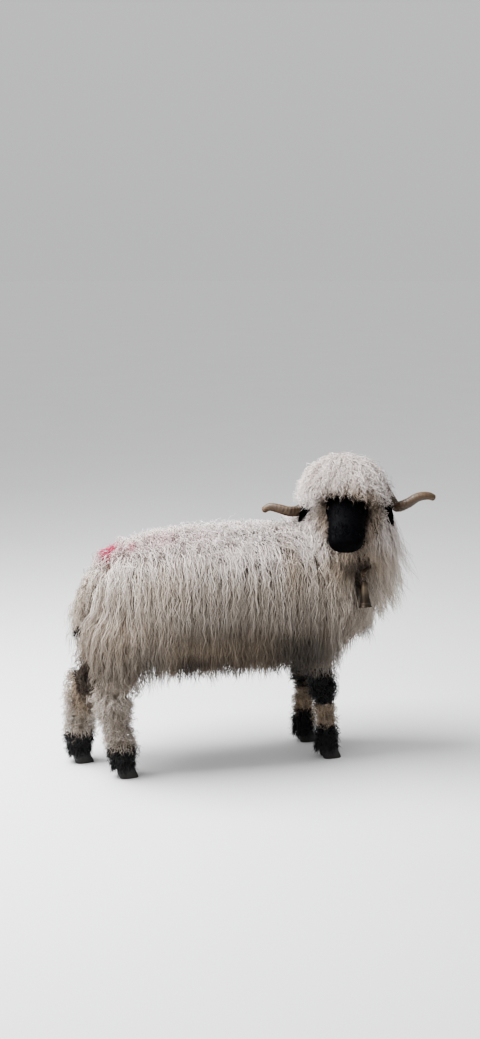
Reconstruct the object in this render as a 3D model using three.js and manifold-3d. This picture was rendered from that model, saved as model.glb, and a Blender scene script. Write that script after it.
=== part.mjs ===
// A valais blacknose ewe at life size, standing still with her head turned to her right, in a deep
// fleece of long hanging locks, with a small bell on a leather collar.
// Millimetres. +X runs from rump to chest, +Y is the animal's left, +Z is up, and the claws stand
// on Z = 0. At the end the whole group is moved so that its box stands centred on the origin.
import * as THREE from 'three';
import { mergeVertices } from 'three/addons/utils/BufferGeometryUtils.js';
import Module from 'manifold-3d';

const wasm = await Module();
wasm.setup();

// Driving dimensions
const GAP = 0.3; // left between nodes that touch
const BACK = 716; // floor to the skin of the back
const TRUNK = { rear: -360, front: 488, halfWidth: 150, halfDepth: 170 };
const CORE = 29; // dense wool on the flanks, from the skin out to where the locks stand free
const FLEECE = { locks: 100, length: 190, width: 112, thick: 15, lift: 26 };
const HEM = { belly: 322, shoulder: 300, chest: 428, thigh: 282 }; // floor to the tips of the lowest locks
const RUFF = { length: 158, width: 96, thick: 15, lift: 40, core: 34 };
const CHEST_ROWS = [[0.95, 10], [0.985, 8], [1, 6]]; // place along the trunk, and locks
const RUFF_ROWS = [[0.36, 10], [0.44, 11], [0.62, 11], [0.74, 8]]; // place along the neck, and locks
const MOP = { steps: 3, locks: 38, length: 98, width: 64, thick: 12, lift: 24, aside: 14 };
const HEAD = { length: 292, halfWidth: 64, poll: [421, -84, 868], yaw: -111, pitch: 35, roll: 3 };
const EYE = { at: 0.478, radius: 13.5, proud: 3.5, lid: 3.2 };
const HORN = { base: 21, tip: 8.5 };
const EAR = { halfWidth: 24, thick: 5.5, cup: 3.4 };
const CLAW = { height: 42, length: 64, width: 27, split: 4 };
const THIGH = { steps: 3, locks: 16, length: 165, width: 94, thick: 14, lift: 15 };
const CURL = { length: 80, width: 66, thick: 19 }; // a rounded clump of the curly leg wool
const COLLAR = { at: 0.51, halfHeight: 0.04, thick: 5, sunk: 4, buckle: 264 };
const BELL = { top: [436, -200, 602], outward: 12, height: 82, mouth: 21, crown: 9, wall: 2.4 };

const vec = (p) => new THREE.Vector3(...p);
const UP = vec([0, 0, 1]);
const DOWN = vec([0, 0, -1]);
const mix = THREE.MathUtils.lerp;
const rad = THREE.MathUtils.degToRad;
const ease = THREE.MathUtils.smoothstep;

// A seeded draw between -1 and 1, so that every run gives the same coat
let seed = 20;
function draw() {
  seed = (seed * 1664525 + 1013904223) % 4294967296;
  return (seed / 4294967296) * 2 - 1;
}

// Solids
function solid(geometry) {
  const bare = geometry.clone();
  for (const name of Object.keys(bare.attributes)) if (name !== 'position') bare.deleteAttribute(name);
  const merged = mergeVertices(bare, 1e-4);
  return new wasm.Manifold(new wasm.Mesh({
    numProp: 3,
    vertProperties: new Float32Array(merged.attributes.position.array),
    triVerts: new Uint32Array(merged.index.array),
  }));
}

function geometryOf(made) {
  const mesh = made.getMesh();
  const geometry = new THREE.BufferGeometry();
  geometry.setAttribute('position', new THREE.BufferAttribute(new Float32Array(mesh.vertProperties), 3));
  geometry.setIndex(new THREE.BufferAttribute(new Uint32Array(mesh.triVerts), 1));
  geometry.computeVertexNormals();
  return geometry;
}

const union = (pieces) => wasm.Manifold.union(pieces);

// Everything between two heights
function between(low, high) {
  return solid(new THREE.BoxGeometry(4000, 4000, high - low).translate(0, 0, (low + high) / 2));
}

// The largest closed surface of a node, with slivers closed up
function largest(made) {
  const pieces = made.simplify(0.1).decompose();
  return pieces.reduce((best, piece) => (piece.volume() > best.volume() ? piece : best));
}

function indexed(points, faces) {
  const geometry = new THREE.BufferGeometry();
  const flat = points.flatMap((p) => p.toArray());
  geometry.setAttribute('position', new THREE.Float32BufferAttribute(flat, 3));
  geometry.setIndex(faces);
  return geometry;
}

// A closed skin over rings of equal point counts, with a fan at each end
function skinned(rings, first, last) {
  const sides = rings[0].length;
  const points = [first, ...rings.flat(), last];
  const end = points.length - 1;
  const at = (ring, side) => 1 + ring * sides + (side % sides);
  const faces = [];
  for (let side = 0; side < sides; side++) {
    faces.push(0, at(0, side + 1), at(0, side));
    faces.push(end, at(rings.length - 1, side), at(rings.length - 1, side + 1));
    for (let ring = 0; ring < rings.length - 1; ring++) {
      faces.push(at(ring, side), at(ring, side + 1), at(ring + 1, side + 1));
      faces.push(at(ring, side), at(ring + 1, side + 1), at(ring + 1, side));
    }
  }
  return indexed(points, faces);
}

// A body part as a tube: a smooth path with an oval section that changes along it. Each station
// gives a place, half the width, and the reach above and below the path, all of the bare skin.
// `above` points to the upper side, and `coat` is the depth of dense wool at a place on it.
class Limb {
  constructor(stations, above, { coat = () => 0, power = 2, ends = [0, 0] } = {}) {
    const curve = (points) => new THREE.CatmullRomCurve3(points, false, 'centripetal');
    this.path = curve(stations.map((s) => s.at.clone()));
    this.sizes = curve(stations.map((s) => vec([s.wide, s.up, s.down ?? s.up])));
    this.above = above.length > 1 ? curve(above.map((a) => a.clone())) : null;
    this.only = above[0];
    this.coat = coat;
    this.power = power;
    this.ends = ends;
  }

  frame(t) {
    const along = this.path.getTangent(t);
    const hint = this.above ? this.above.getPoint(t) : this.only.clone();
    const side = hint.cross(along).normalize();
    const up = along.clone().cross(side);
    return { at: this.path.getPoint(t), along, side, up, size: this.sizes.getPoint(t) };
  }

  // The section's reach at an angle, which runs from its left side over its top
  reach(size, t, angle, grow) {
    const c = Math.abs(Math.cos(angle));
    const s = Math.sin(angle);
    const more = this.coat(t, angle) + grow;
    const wide = size.x + more;
    const tall = (s > 0 ? size.y : size.z) + more;
    const sum = Math.pow(c / wide, this.power) + Math.pow(Math.abs(s) / tall, this.power);
    return 1 / Math.pow(sum, 1 / this.power);
  }

  point(t, angle, grow = 0) {
    const { at, side, up, size } = this.frame(t);
    const r = this.reach(size, t, angle, grow);
    return at.addScaledVector(side, r * Math.cos(angle)).addScaledVector(up, r * Math.sin(angle));
  }

  outward(t, angle) {
    const e = 0.01;
    const along = this.point(Math.min(1, t + e), angle).sub(this.point(Math.max(0, t - e), angle));
    const around = this.point(t, angle + e).sub(this.point(t, angle - e));
    return around.cross(along).normalize();
  }

  // How far a place lies outside the coat's core, and the way out from there
  locate(place) {
    let best = Infinity;
    let t = 0;
    for (let i = 0; i <= 32; i++) {
      const d = this.path.getPoint(i / 32).distanceToSquared(place);
      if (d < best) {
        best = d;
        t = i / 32;
      }
    }
    const { at, along, side, up, size } = this.frame(t);
    const offset = place.clone().sub(at);
    const past = offset.dot(along);
    if (t > 0 && t < 1) offset.addScaledVector(along, -past);
    const away = offset.length() || 1;
    const angle = Math.atan2(offset.dot(up), offset.dot(side));
    const reach = this.reach(size, t, angle, 0);
    let gap = away - reach;
    if (t === 0 || t === 1) {
      const aside = Math.sqrt(Math.max(0, away * away - past * past));
      gap = away * (1 - 1 / Math.max(0.01, Math.hypot(past / (this.ends[t] + 1), aside / reach)));
    }
    return { gap, out: offset.divideScalar(away), t, angle };
  }

  geometry({ grow = 0, rings = 16, sides = 18, ends = this.ends, from = 0, to = 1 } = {}) {
    const made = Array.from({ length: rings + 1 }, (_, ring) => (
      Array.from({ length: sides }, (_, side) => (
        this.point(mix(from, to, ring / rings), (side / sides) * 2 * Math.PI, grow)
      ))
    ));
    const cap = (t, way, reach) => {
      const { at, along } = this.frame(t);
      return at.addScaledVector(along, way * (reach + grow));
    };
    return skinned(made, cap(from, -1, ends[0]), cap(to, 1, ends[1]));
  }

  solid(options) {
    return solid(this.geometry(options));
  }

  // A band round the limb between two heights over its skin, as a closed ring
  band(t, half, inner, outer, sides = 16) {
    const corners = [[-half, inner], [half, inner], [half, outer], [-half, outer]];
    const points = [];
    const faces = [];
    for (let side = 0; side < sides; side++) {
      const angle = (side / sides) * 2 * Math.PI;
      for (const [along, height] of corners) {
        points.push(this.point(t + along, angle, height - this.coat(t + along, angle)));
      }
      for (let k = 0; k < 4; k++) {
        const a = side * 4 + k;
        const b = side * 4 + ((k + 1) % 4);
        const c = ((side + 1) % sides) * 4 + k;
        const d = ((side + 1) % sides) * 4 + ((k + 1) % 4);
        faces.push(a, b, c, b, d, c);
      }
    }
    return solid(indexed(points, faces));
  }
}

// Roots spread evenly over a limb by turns of the golden angle, each with the way out there
function scatter(limb, count, from = 0, to = 1) {
  const slices = 60;
  const areas = Array.from({ length: slices }, (_, i) => {
    const t = mix(from, to, (i + 0.5) / slices);
    const { x, y, z } = limb.frame(t).size;
    const before = limb.path.getPoint(Math.max(0, t - 0.005));
    const step = limb.path.getPoint(Math.min(1, t + 0.005)).distanceTo(before);
    return (x + (y + z) / 2 + 2 * limb.coat(t, 0)) * step;
  });
  const whole = areas.reduce((sum, area) => sum + area, 0);
  const roots = [];
  let slice = 0;
  let passed = 0;
  for (let i = 0; i < count; i++) {
    const wanted = ((i + 0.5) / count) * whole;
    while (passed + areas[slice] < wanted) {
      passed += areas[slice];
      slice += 1;
    }
    const t = mix(from, to, (slice + (wanted - passed) / areas[slice]) / slices);
    const angle = i * Math.PI * (3 - Math.sqrt(5)) + draw() * 0.12;
    roots.push({ t, angle, root: limb.point(t, angle), out: limb.outward(t, angle) });
  }
  return roots;
}

// Rows of roots round a limb, each row turned half a step against the one before
function rowsOf(limb, rows) {
  return rows.flatMap(([t, count], row) => Array.from({ length: count }, (_, i) => {
    const angle = ((i + row / 2 + draw() * 0.15) / count) * 2 * Math.PI;
    return { t, angle, root: limb.point(t, angle), out: limb.outward(t, angle) };
  }));
}

// A flat lock: a low ridge along its outer face, widest a little below its root, ending in a tip.
// Where it bends so hard that it would fold into itself, there is none.
function lockSolid({ line, outs, width, thick }) {
  const shares = [0.74, 1, 0.9, 0.56];
  const last = line.length - 1;
  const rings = [];
  for (let i = 0; i < last; i++) {
    const along = line[i + 1].clone().sub(line[Math.max(i - 1, 0)]).normalize();
    const side = outs[i].clone().cross(along).normalize();
    const out = along.clone().cross(side);
    const share = shares[Math.round((i / (last - 1)) * (shares.length - 1))];
    const across = (way) => line[i].clone()
      .addScaledVector(side, way * (width / 2) * share)
      .addScaledVector(out, -0.3 * thick * share);
    const ridge = line[i].clone().addScaledVector(out, 0.7 * thick * Math.max(0.6, share));
    rings.push([across(1), ridge, across(-1)]);
  }
  const folds = rings.some((ring, i) => ring.some((corner, k) => {
    const next = i < last - 1 ? rings[i + 1][k] : line[last];
    return next.clone().sub(corner).dot(line[i + 1].clone().sub(line[i])) <= 0;
  }));
  return folds ? null : solid(ringed(rings, line[last]));
}

// A closed form over rings that start flat and end in one point
function ringed(rings, tip) {
  const sides = rings[0].length;
  const points = [...rings.flat(), tip];
  const faces = [];
  for (let k = 2; k < sides; k++) faces.push(0, k, k - 1);
  for (let i = 0; i < rings.length; i++) {
    for (let k = 0; k < sides; k++) {
      const a = i * sides + k;
      const b = i * sides + ((k + 1) % sides);
      if (i < rings.length - 1) faces.push(a, b, b + sides, a, b + sides, a + sides);
      else faces.push(a, b, points.length - 1);
    }
  }
  return indexed(points, faces);
}

// The line of a hanging lock. From its root it slides down over the bodies under it, rising to its
// lift above them, and falls straight where nothing is under it. `flow` leans it.
function hangingLine({ root, out, bodies, length, lift, flow, sink, steps = 4 }) {
  const line = [root.clone().addScaledVector(out, -sink)];
  const outs = [out.clone()];
  const wave = vec([draw(), draw(), 0]).multiplyScalar(0.14);
  let here = root.clone().addScaledVector(out, lift * 0.15);
  for (let i = 1; i <= steps; i++) {
    const near = nearest(here, bodies);
    const way = DOWN.clone().add(flow).addScaledVector(wave, i % 2 ? 1 : -1);
    const into = way.dot(near.out);
    if (into < 0 && near.gap < lift * 1.5) way.addScaledVector(near.out, -into);
    if (i === 1) way.addScaledVector(out, 0.35);
    here = here.clone().addScaledVector(way.normalize(), length / steps);
    const after = nearest(here, bodies);
    const wanted = lift * Math.min(1, (i + 0.7) / steps);
    if (after.gap < wanted) here.addScaledVector(after.out, wanted - after.gap);
    line.push(here);
    outs.push(after.out.clone().addScaledVector(out, 0.2).normalize());
  }
  return { line, outs };
}

function nearest(place, bodies) {
  return bodies
    .map(({ limb, rise = 0 }) => {
      const found = limb.locate(place);
      return { ...found, gap: found.gap - rise };
    })
    .reduce((best, found) => (found.gap < best.gap ? found : best));
}

function apart(a, b) {
  return [0, 1, 2].some((k) => a.min[k] > b.max[k] || a.max[k] < b.min[k]);
}

// Grows locks on a core and fuses them. A lock that would meet what must stay clear of it is
// tried again with another lift, length and width, and left out if it still would.
function woolly(core, locks, clear) {
  const guards = clear.map((made) => ({ made, box: made.boundingBox() }));
  const tries = [
    [1, 1, 1], [1.4, 1, 1], [0.4, 1, 1], [1.2, 0.8, 1],
    [0.4, 1, 0.6], [1.6, 0.75, 0.8], [1, 0.55, 0.8], [0.5, 0.4, 0.7],
  ];
  const grown = [];
  for (const lock of locks) {
    for (const [lift, length, wide] of tries) {
      const path = hangingLine({ ...lock, lift: lock.lift * lift, length: lock.length * length });
      const width = lock.width * wide;
      const fat = lockSolid({ ...path, width: width + 1.4, thick: lock.thick + 1.4 });
      if (!fat) continue;
      const box = fat.boundingBox();
      const meets = (guard) => !apart(box, guard.box) && !fat.intersect(guard.made).isEmpty();
      if (box.min[2] < 8 || guards.some(meets)) continue;
      grown.push(lockSolid({ ...path, width, thick: lock.thick }));
      break;
    }
  }
  return largest(union([core, ...grown]));
}

// Turns evenly spread roots into locks of a kind. `fit` may change a lock's sizes or drop it.
function locksOf(roots, kind, bodies, fit) {
  const locks = [];
  for (const { t, angle, root, out } of roots) {
    const varied = {
      root, out, bodies, t, angle, sink: 12, steps: kind.steps,
      length: kind.length * (1 + draw() * 0.1), lift: kind.lift * (1 + draw() * 0.15),
      width: kind.width * (1 + draw() * 0.1), thick: kind.thick * (1 + draw() * 0.15), flow: vec([0, 0, 0]),
    };
    const fitted = fit(varied);
    if (fitted) locks.push({ ...varied, ...fitted });
  }
  return locks;
}

// Trunk: place along it, half width and half depth as shares, and how far its middle sinks
const reach = TRUNK.front - TRUNK.rear;
const trunk = new Limb([
  [0, 0.3, 0.3, 26], [0.05, 0.64, 0.66, 20], [0.13, 0.88, 0.88, 12], [0.26, 0.97, 0.97, 4], [0.44, 1, 1, 0],
  [0.6, 1, 1, 0], [0.73, 0.96, 0.95, 6], [0.84, 0.84, 0.8, 14], [0.93, 0.62, 0.6, 14], [1, 0.3, 0.34, 12],
].map(([along, wide, deep, sink]) => ({
  at: vec([TRUNK.rear + reach * along, 0, BACK - TRUNK.halfDepth - sink]),
  wide: TRUNK.halfWidth * wide, up: TRUNK.halfDepth * deep,
})), [vec([0, 0, 1])], { power: 2.3, coat: (t) => CORE + 14 * ease(t, 0.75, 1), ends: [12, 20] });
const trunkShape = { rings: 14, sides: 16 };

// Head: in its own frame +X runs to the nose, +Y to the animal's left and +Z out of the crown
const headFrame = new THREE.Matrix4()
  .makeRotationFromEuler(new THREE.Euler(rad(HEAD.roll), rad(HEAD.pitch), rad(HEAD.yaw), 'ZYX'))
  .setPosition(vec(HEAD.poll));
const inHead = (p) => vec(p).applyMatrix4(headFrame);
const headWay = (p) => vec(p).transformDirection(headFrame);
const skull = new Limb([
  [-0.15, 0.55, 0.5, 0.6], [-0.07, 0.9, 0.78, 0.95], [0.05, 1.02, 0.9, 1.12], [0.17, 1.0, 0.88, 1.22],
  [0.29, 0.95, 0.82, 1.2], [0.42, 0.88, 0.74, 1.06], [0.55, 0.85, 0.66, 0.86], [0.67, 0.88, 0.6, 0.74],
  [0.77, 0.88, 0.52, 0.64], [0.84, 0.66, 0.36, 0.46],
].map(([along, wide, up, down]) => ({
  at: inHead([HEAD.length * along, 0, 0]),
  wide: HEAD.halfWidth * wide, up: HEAD.halfWidth * up, down: HEAD.halfWidth * down,
})), [headWay([0, 0, 1])], { power: 2.4, ends: [14, 9] });
const skullShape = { rings: 12, sides: 14 };

// The dense wool of the mop sits on the crown like a cap, drawn down over the cheeks
const crown = new Limb([
  [-84, 14, 34, 30, 40], [-62, 18, 80, 52, 66], [-28, 24, 108, 68, 82], [10, 26, 114, 72, 80],
  [44, 26, 100, 62, 60], [66, 30, 64, 42, 34],
].map(([ahead, high, wide, up, down]) => ({
  at: inHead([ahead, -MOP.aside, high]), wide, up, down,
})), [headWay([0, 0, 1])], { ends: [6, 6] });
const crownShape = { rings: 7, sides: 14 };

// Neck: it leaves the chest, climbs and turns to the right with the head. Below the throat its
// wool is deeper.
const neck = new Limb([
  { at: vec([262, 0, 560]), wide: 94, up: 120 },
  { at: vec([352, -2, 620]), wide: 96, up: 110, down: 132 },
  { at: vec([412, -20, 702]), wide: 88, up: 90, down: 114 },
  { at: vec([436, -50, 784]), wide: 74, up: 72, down: 92 },
  { at: vec([432, -76, 846]), wide: 60, up: 60 },
], [[-0.3, 0, 1], [-0.6, 0.15, 0.8], [-0.6, 0.5, 0.6], [-0.4, 0.9, 0.4], [0.2, 1, 0.4]].map(vec), {
  coat: (t, angle) => RUFF.core * (0.68 + 0.62 * Math.max(0, -Math.sin(angle))),
  ends: [6, 6],
});
const neckShape = { rings: 7, sides: 16 };

const solids = new Map();
const finishes = new Map();
const keeps = []; // small nodes grown by the gap, cut out of the wool round them
const WOOL = { color: 0xd9d0c4, roughness: 0.95, metalness: 0 };
const DARK = { color: 0x17140f, roughness: 0.9, metalness: 0 };
const CLAWS = { color: 0x2a2420, roughness: 0.55, metalness: 0 };
const BONE = { color: 0xa88a6c, roughness: 0.6, metalness: 0 };
const EYES = { color: 0x1b120a, roughness: 0.15, metalness: 0 };
const LEATHER = { color: 0x33241a, roughness: 0.8, metalness: 0 };
const BRASS = { color: 0x8a6a3c, roughness: 0.45, metalness: 0.8 };
function add(name, made, finish) {
  solids.set(name, made);
  finishes.set(name, finish);
}

const trunkKeep = trunk.solid({ ...trunkShape, grow: GAP });
const headKeep = union([
  skull.solid({ ...skullShape, grow: GAP }), crown.solid({ ...crownShape, grow: GAP }),
]);

// Legs. Each station gives a height, a share of the way from the joint up to the hip or from the
// foot up to the joint, and half widths across and along.
const HIND = {
  upper: [[500, 1, 62, 104], [430, 0.9, 58, 92], [350, 0.72, 47, 60], [288, 0.27, 34, 42]],
  lower: [
    [246, 1, 27, 36], [204, 0.76, 22, 27], [150, 0.44, 19, 22], [98, 0.14, 22, 27],
    [66, 0.05, 20, 26], [CLAW.height, 0, 24, 30], [CLAW.height - 14, 0, 24, 30],
  ],
  coat: 11, curls: 8, curlsFrom: 0.36,
};
const FORE = {
  upper: [[490, 1, 54, 84], [420, 0.86, 47, 66], [345, 0.5, 38, 46], [278, 0.14, 30, 34]],
  lower: [
    [228, 1, 30, 35], [168, 0.55, 20, 23], [98, 0.12, 22, 27],
    [66, 0.04, 20, 26], [CLAW.height, 0, 24, 30], [CLAW.height - 14, 0, 24, 30],
  ],
  coat: 4, curls: 6, curlsFrom: 0.44,
};
const LEGS = [
  { name: 'hind_right', kind: HIND, hip: [-288, -86], joint: [-346, -98], foot: [-313, -100] },
  { name: 'hind_left', kind: HIND, hip: [-294, 86], joint: [-408, 80], foot: [-424, 74] },
  { name: 'front_right', kind: FORE, hip: [312, -84], joint: [342, -90], foot: [356, -88] },
  { name: 'front_left', kind: FORE, hip: [312, 84], joint: [336, 86], foot: [332, 86] },
];

function legLimb({ kind, hip, joint, foot }) {
  const station = (low, high, [z, share, wide, deep]) => ({
    at: vec([mix(low[0], high[0], share), mix(low[1], high[1], share), z]), wide, up: deep,
  });
  const stations = [
    ...kind.upper.map((row) => station(joint, hip, row)),
    ...kind.lower.map((row) => station(foot, joint, row)),
  ];
  return new Limb(stations, [vec([1, 0, 0])], { coat: (t) => kind.coat * (1 - ease(t, 0.7, 0.86)) });
}

// A rounded clump of curly wool, set on a leg with its root sunk in
function curlSolid({ root, out, along, size }) {
  const side = out.clone().cross(along).normalize();
  const sections = [[-0.3, 0.36, 0.5], [0.1, 0.5, 0.96], [0.62, 0.36, 0.86]];
  const rings = sections.map(([down, half, high]) => {
    const at = root.clone().addScaledVector(along, down * size.length);
    const corner = (across, height) => at.clone()
      .addScaledVector(side, across * half * size.width)
      .addScaledVector(out, height * size.thick);
    return [corner(1, -0.5), corner(0.62, high * 0.8), corner(-0.62, high * 0.8), corner(-1, -0.5)];
  });
  const tip = root.clone()
    .addScaledVector(along, size.length * 0.98)
    .addScaledVector(out, size.thick * 0.25);
  return solid(ringed(rings, tip));
}

function curly(limb, { curls, curlsFrom, coat }, clear) {
  const grown = [];
  for (const { t, root, out } of scatter(limb, curls, curlsFrom, 0.78)) {
    const { along, side } = limb.frame(t);
    along.addScaledVector(side, draw() * 0.25).normalize();
    const scale = (1 + draw() * 0.12) * mix(1.1, 0.8, ease(t, curlsFrom, 0.78));
    const size = {
      length: CURL.length * scale,
      width: CURL.width * scale,
      thick: CURL.thick * scale * (coat > 8 ? 1 : 0.55),
    };
    const fat = { ...size, width: size.width + 1.4, thick: size.thick + 1.4 };
    if (!curlSolid({ root, out, along, size: fat }).intersect(clear).isEmpty()) continue;
    grown.push(curlSolid({ root, out, along, size }));
  }
  return grown;
}

const legShape = { rings: 11, sides: 9 };
const aboveClaws = between(CLAW.height + GAP, 900);
for (const leg of LEGS) {
  leg.limb = legLimb(leg);
  const core = leg.limb.solid(legShape).intersect(aboveClaws).subtract(trunkKeep);
  const outer = Math.sign(leg.foot[1]);
  const roots = scatter(leg.limb, THIGH.locks, 0.02, 0.36);
  const locks = locksOf(roots, THIGH, [{ limb: leg.limb }], ({ root, out, length }) => {
    if (out.y * outer < -0.45 || trunk.locate(root).gap < 6) return null;
    return { length: Math.min(length, Math.max(40, (root.z - HEM.thigh) * 1.05)), sink: 8 };
  });
  const curls = union([core, ...curly(leg.limb, leg.kind, trunkKeep)]).intersect(aboveClaws);
  add(`leg_${leg.name}`, woolly(curls, locks, [trunkKeep]), WOOL);
}

// Two claws to each foot: height as a share from the top, half width, half length and step ahead
const clawRoom = between(0, CLAW.height);
for (const { name, foot } of LEGS) {
  for (const side of [-1, 1]) {
    const y = foot[1] + (side * (CLAW.width + CLAW.split)) / 2;
    const rows = [[-0.2, 0.66, 0.74, -3], [0.35, 0.88, 0.9, 5], [0.8, 1, 1, 11], [1.2, 1, 1, 15]];
    const claw = new Limb(rows.map(([down, wide, long, ahead]) => ({
      at: vec([foot[0] + ahead, y, CLAW.height * (1 - down)]),
      wide: (CLAW.width / 2) * wide,
      up: (CLAW.length / 2) * long,
      down: (CLAW.length / 2) * long * 0.85,
    })), [vec([1, 0, 0])], { power: 2.4 });
    const made = claw.solid({ rings: 3, sides: 8 }).intersect(clawRoom);
    add(`claw_${name}_${side < 0 ? 'right' : 'left'}`, made, CLAWS);
  }
}

// Tail: it hangs down behind, and its wool ends in a black tip
const tailLimb = new Limb([
  { at: vec([-352, 0, 626]), wide: 24, up: 20 }, { at: vec([-394, 0, 596]), wide: 28, up: 18 },
  { at: vec([-414, 0, 545]), wide: 31, up: 18 }, { at: vec([-423, 0, 490]), wide: 28, up: 16 },
  { at: vec([-424, 0, 444]), wide: 17, up: 11 },
], [vec([-1, 0, 0.2])]);
add('tail', largest(tailLimb.solid({ rings: 7, sides: 8, ends: [4, 8] }).subtract(trunkKeep)), WOOL);

// Horns: out of the crown, back and down under the wool, then out to the side and up again.
// Rows are across, back, and up from the poll, in a frame that only shares the head's heading.
const levelFrame = new THREE.Matrix4()
  .makeRotationZ(rad(HEAD.yaw))
  .setPosition(vec(HEAD.poll).add(vec([0, 0, 26])));
const inLevel = (p) => vec(p).applyMatrix4(levelFrame);
const HORNS = {
  left: [[30, 6, -14], [60, 34, 4], [100, 62, -16], [130, 60, -56], [152, 40, -80], [184, 26, -68],
    [220, 26, -46], [252, 32, -43], [272, 40, -52]],
  right: [[30, 6, -14], [60, 34, 0], [100, 62, -22], [130, 60, -70], [156, 42, -98], [188, 28, -100],
    [220, 28, -92], [252, 32, -88], [274, 38, -102]],
};
for (const [side, rows] of Object.entries(HORNS)) {
  const way = side === 'left' ? 1 : -1;
  const stations = rows.map(([across, back, up], i) => {
    const radius = mix(HORN.base, HORN.tip, Math.pow(i / (rows.length - 1), 1.2));
    return { at: inLevel([-back, way * across, up]), wide: radius, up: radius * 0.8 };
  });
  const horn = new Limb(stations, [headWay([-0.3, 0, 1])]);
  keeps.push(horn.solid({ rings: 13, sides: 7, ends: [0, 5], grow: GAP }));
  add(`horn_${side}`, largest(horn.solid({ rings: 13, sides: 7, ends: [0, 5] }).subtract(headKeep)), BONE);
}

// Ears: a leaf that hangs from the side of the head, hollowed into a cup on its front face
for (const [side, way, spread] of [['left', 1, -8], ['right', -1, 8]]) {
  const rows = [[66, 2, -12, 0.42], [92, -4, -38, 0.84], [116 + spread * 0.4, -8, -66, 1],
    [134 + spread * 0.8, -8, -98, 0.8], [146 + spread, -4, -128, 0.28]];
  const leaf = (shrink, lift) => new Limb(rows.map(([across, back, up, share]) => ({
    at: inLevel([-back, way * across, up]).addScaledVector(headWay([1, 0, 0]), lift),
    wide: Math.max(3, EAR.halfWidth * share - shrink),
    up: Math.max(1.5, EAR.thick * (0.5 + share / 2) - shrink / 2),
  })), [headWay([1, way * 0.5, 0])]);
  const hollow = leaf(EAR.cup, EAR.thick * 0.9).solid({ rings: 5, sides: 7, from: 0.22, to: 0.94 });
  const ear = leaf(0, 0).solid({ rings: 6, sides: 8, ends: [0, 3] }).subtract(hollow).subtract(headKeep);
  keeps.push(leaf(0, 0).solid({ rings: 6, sides: 8, ends: [0, 3], grow: GAP }));
  add(`ear_${side}`, largest(ear), DARK);
}

// Face: sockets with lids, nostrils, and lips parted by the line of the mouth
const faceCuts = [];
const faceParts = [];
for (const [side, way] of [['left', 1], ['right', -1]]) {
  const angle = way > 0 ? rad(22) : rad(158);
  const out = skull.outward(EYE.at, angle);
  const eye = skull.point(EYE.at, angle).addScaledVector(out, EYE.proud - EYE.radius);
  const ball = (grow) => solid(
    new THREE.SphereGeometry(EYE.radius + grow, 10, 8).translate(...eye.toArray()),
  );
  add(`eye_${side}`, ball(0), EYES);
  faceCuts.push(ball(GAP));
  const nose = headWay([1, 0, 0]);
  const over = out.clone().cross(nose).multiplyScalar(way);
  for (const rise of [1, -1]) {
    const lid = new Limb([-1, -0.55, 0, 0.55, 1].map((s) => ({
      at: eye.clone()
        .addScaledVector(nose, s * EYE.radius * 1.02)
        .addScaledVector(over, rise * EYE.radius * 0.72 * (1 - s * s) + EYE.radius * 0.08)
        .addScaledVector(out, EYE.radius * (0.56 + 0.22 * (1 - s * s))),
      wide: EYE.lid * (1.25 - Math.abs(s) * 0.4), up: EYE.lid,
    })), [out]);
    faceParts.push(lid.solid({ rings: 4, sides: 4, ends: [2, 2] }));
  }
  const nostril = new THREE.SphereGeometry(1, 6, 5).scale(10, 4.2, 8).rotateZ(way * rad(38));
  faceCuts.push(solid(nostril.translate(HEAD.length * 0.832, way * 21, 15).applyMatrix4(headFrame)));
}
const mouthLine = [[0.7, -18], [0.8, -21], [0.9, -24], [0.97, -27], [1, -30]];
const mouthSide = (way) => mouthLine.map(([t, angle]) => (
  skull.point(t, way > 0 ? rad(angle) : rad(180 - angle))
));
const mouthFront = inHead([HEAD.length * 0.84 + 7.5, 0, -12]);
const mouth = (radius) => new Limb([...mouthSide(1), mouthFront, ...mouthSide(-1).reverse()].map((at) => ({
  at, wide: radius, up: radius,
})), [headWay([0, 0, 1])]).solid({ rings: 9, sides: 4 });
faceParts.push(mouth(5));
faceCuts.push(mouth(1.8));
const skullCore = union([skull.solid(skullShape), ...faceParts]).subtract(union(faceCuts));

// The mop hangs all round the crown: over the brow to the eyes, over the cheeks, and down the nape
const mopBodies = [{ limb: crown }, { limb: skull }, { limb: neck, rise: 8 }];
const neckRoom = neck.solid({ ...neckShape, grow: GAP }).subtract(headKeep);
const fromHead = headFrame.clone().invert();
const mopLocks = locksOf(scatter(crown, MOP.locks), MOP, mopBodies, ({ root, out, length, lift }) => {
  const local = root.clone().applyMatrix4(fromHead);
  if (local.z < -18 || local.x < -76) return null;
  const brow = ease(local.x, 20, 66) * (1 - ease(Math.abs(local.y), 30, 80));
  return {
    length: length * (1 - 0.25 * brow), lift: lift * (1 - 0.4 * brow), sink: 9,
    flow: out.clone().setZ(0).multiplyScalar(0.5).addScaledVector(headWay([1, 0, 0]), 0.3 * brow),
  };
});
const headGuards = ['ear', 'horn', 'eye'].flatMap((kind) => (
  [solids.get(`${kind}_left`), solids.get(`${kind}_right`)]
));
const head = woolly(union([skullCore, crown.solid(crownShape)]), mopLocks, [...headGuards, neckRoom]);
add('head', head, DARK);

// Collar, sunk in a groove of the neck's wool
const collarTop = COLLAR.sunk + COLLAR.thick;
const collarBand = neck.band(COLLAR.at, COLLAR.halfHeight, COLLAR.sunk, collarTop).subtract(trunkKeep);
const groove = neck.band(COLLAR.at, COLLAR.halfHeight + 0.012, COLLAR.sunk - GAP, COLLAR.sunk + 120);

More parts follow.
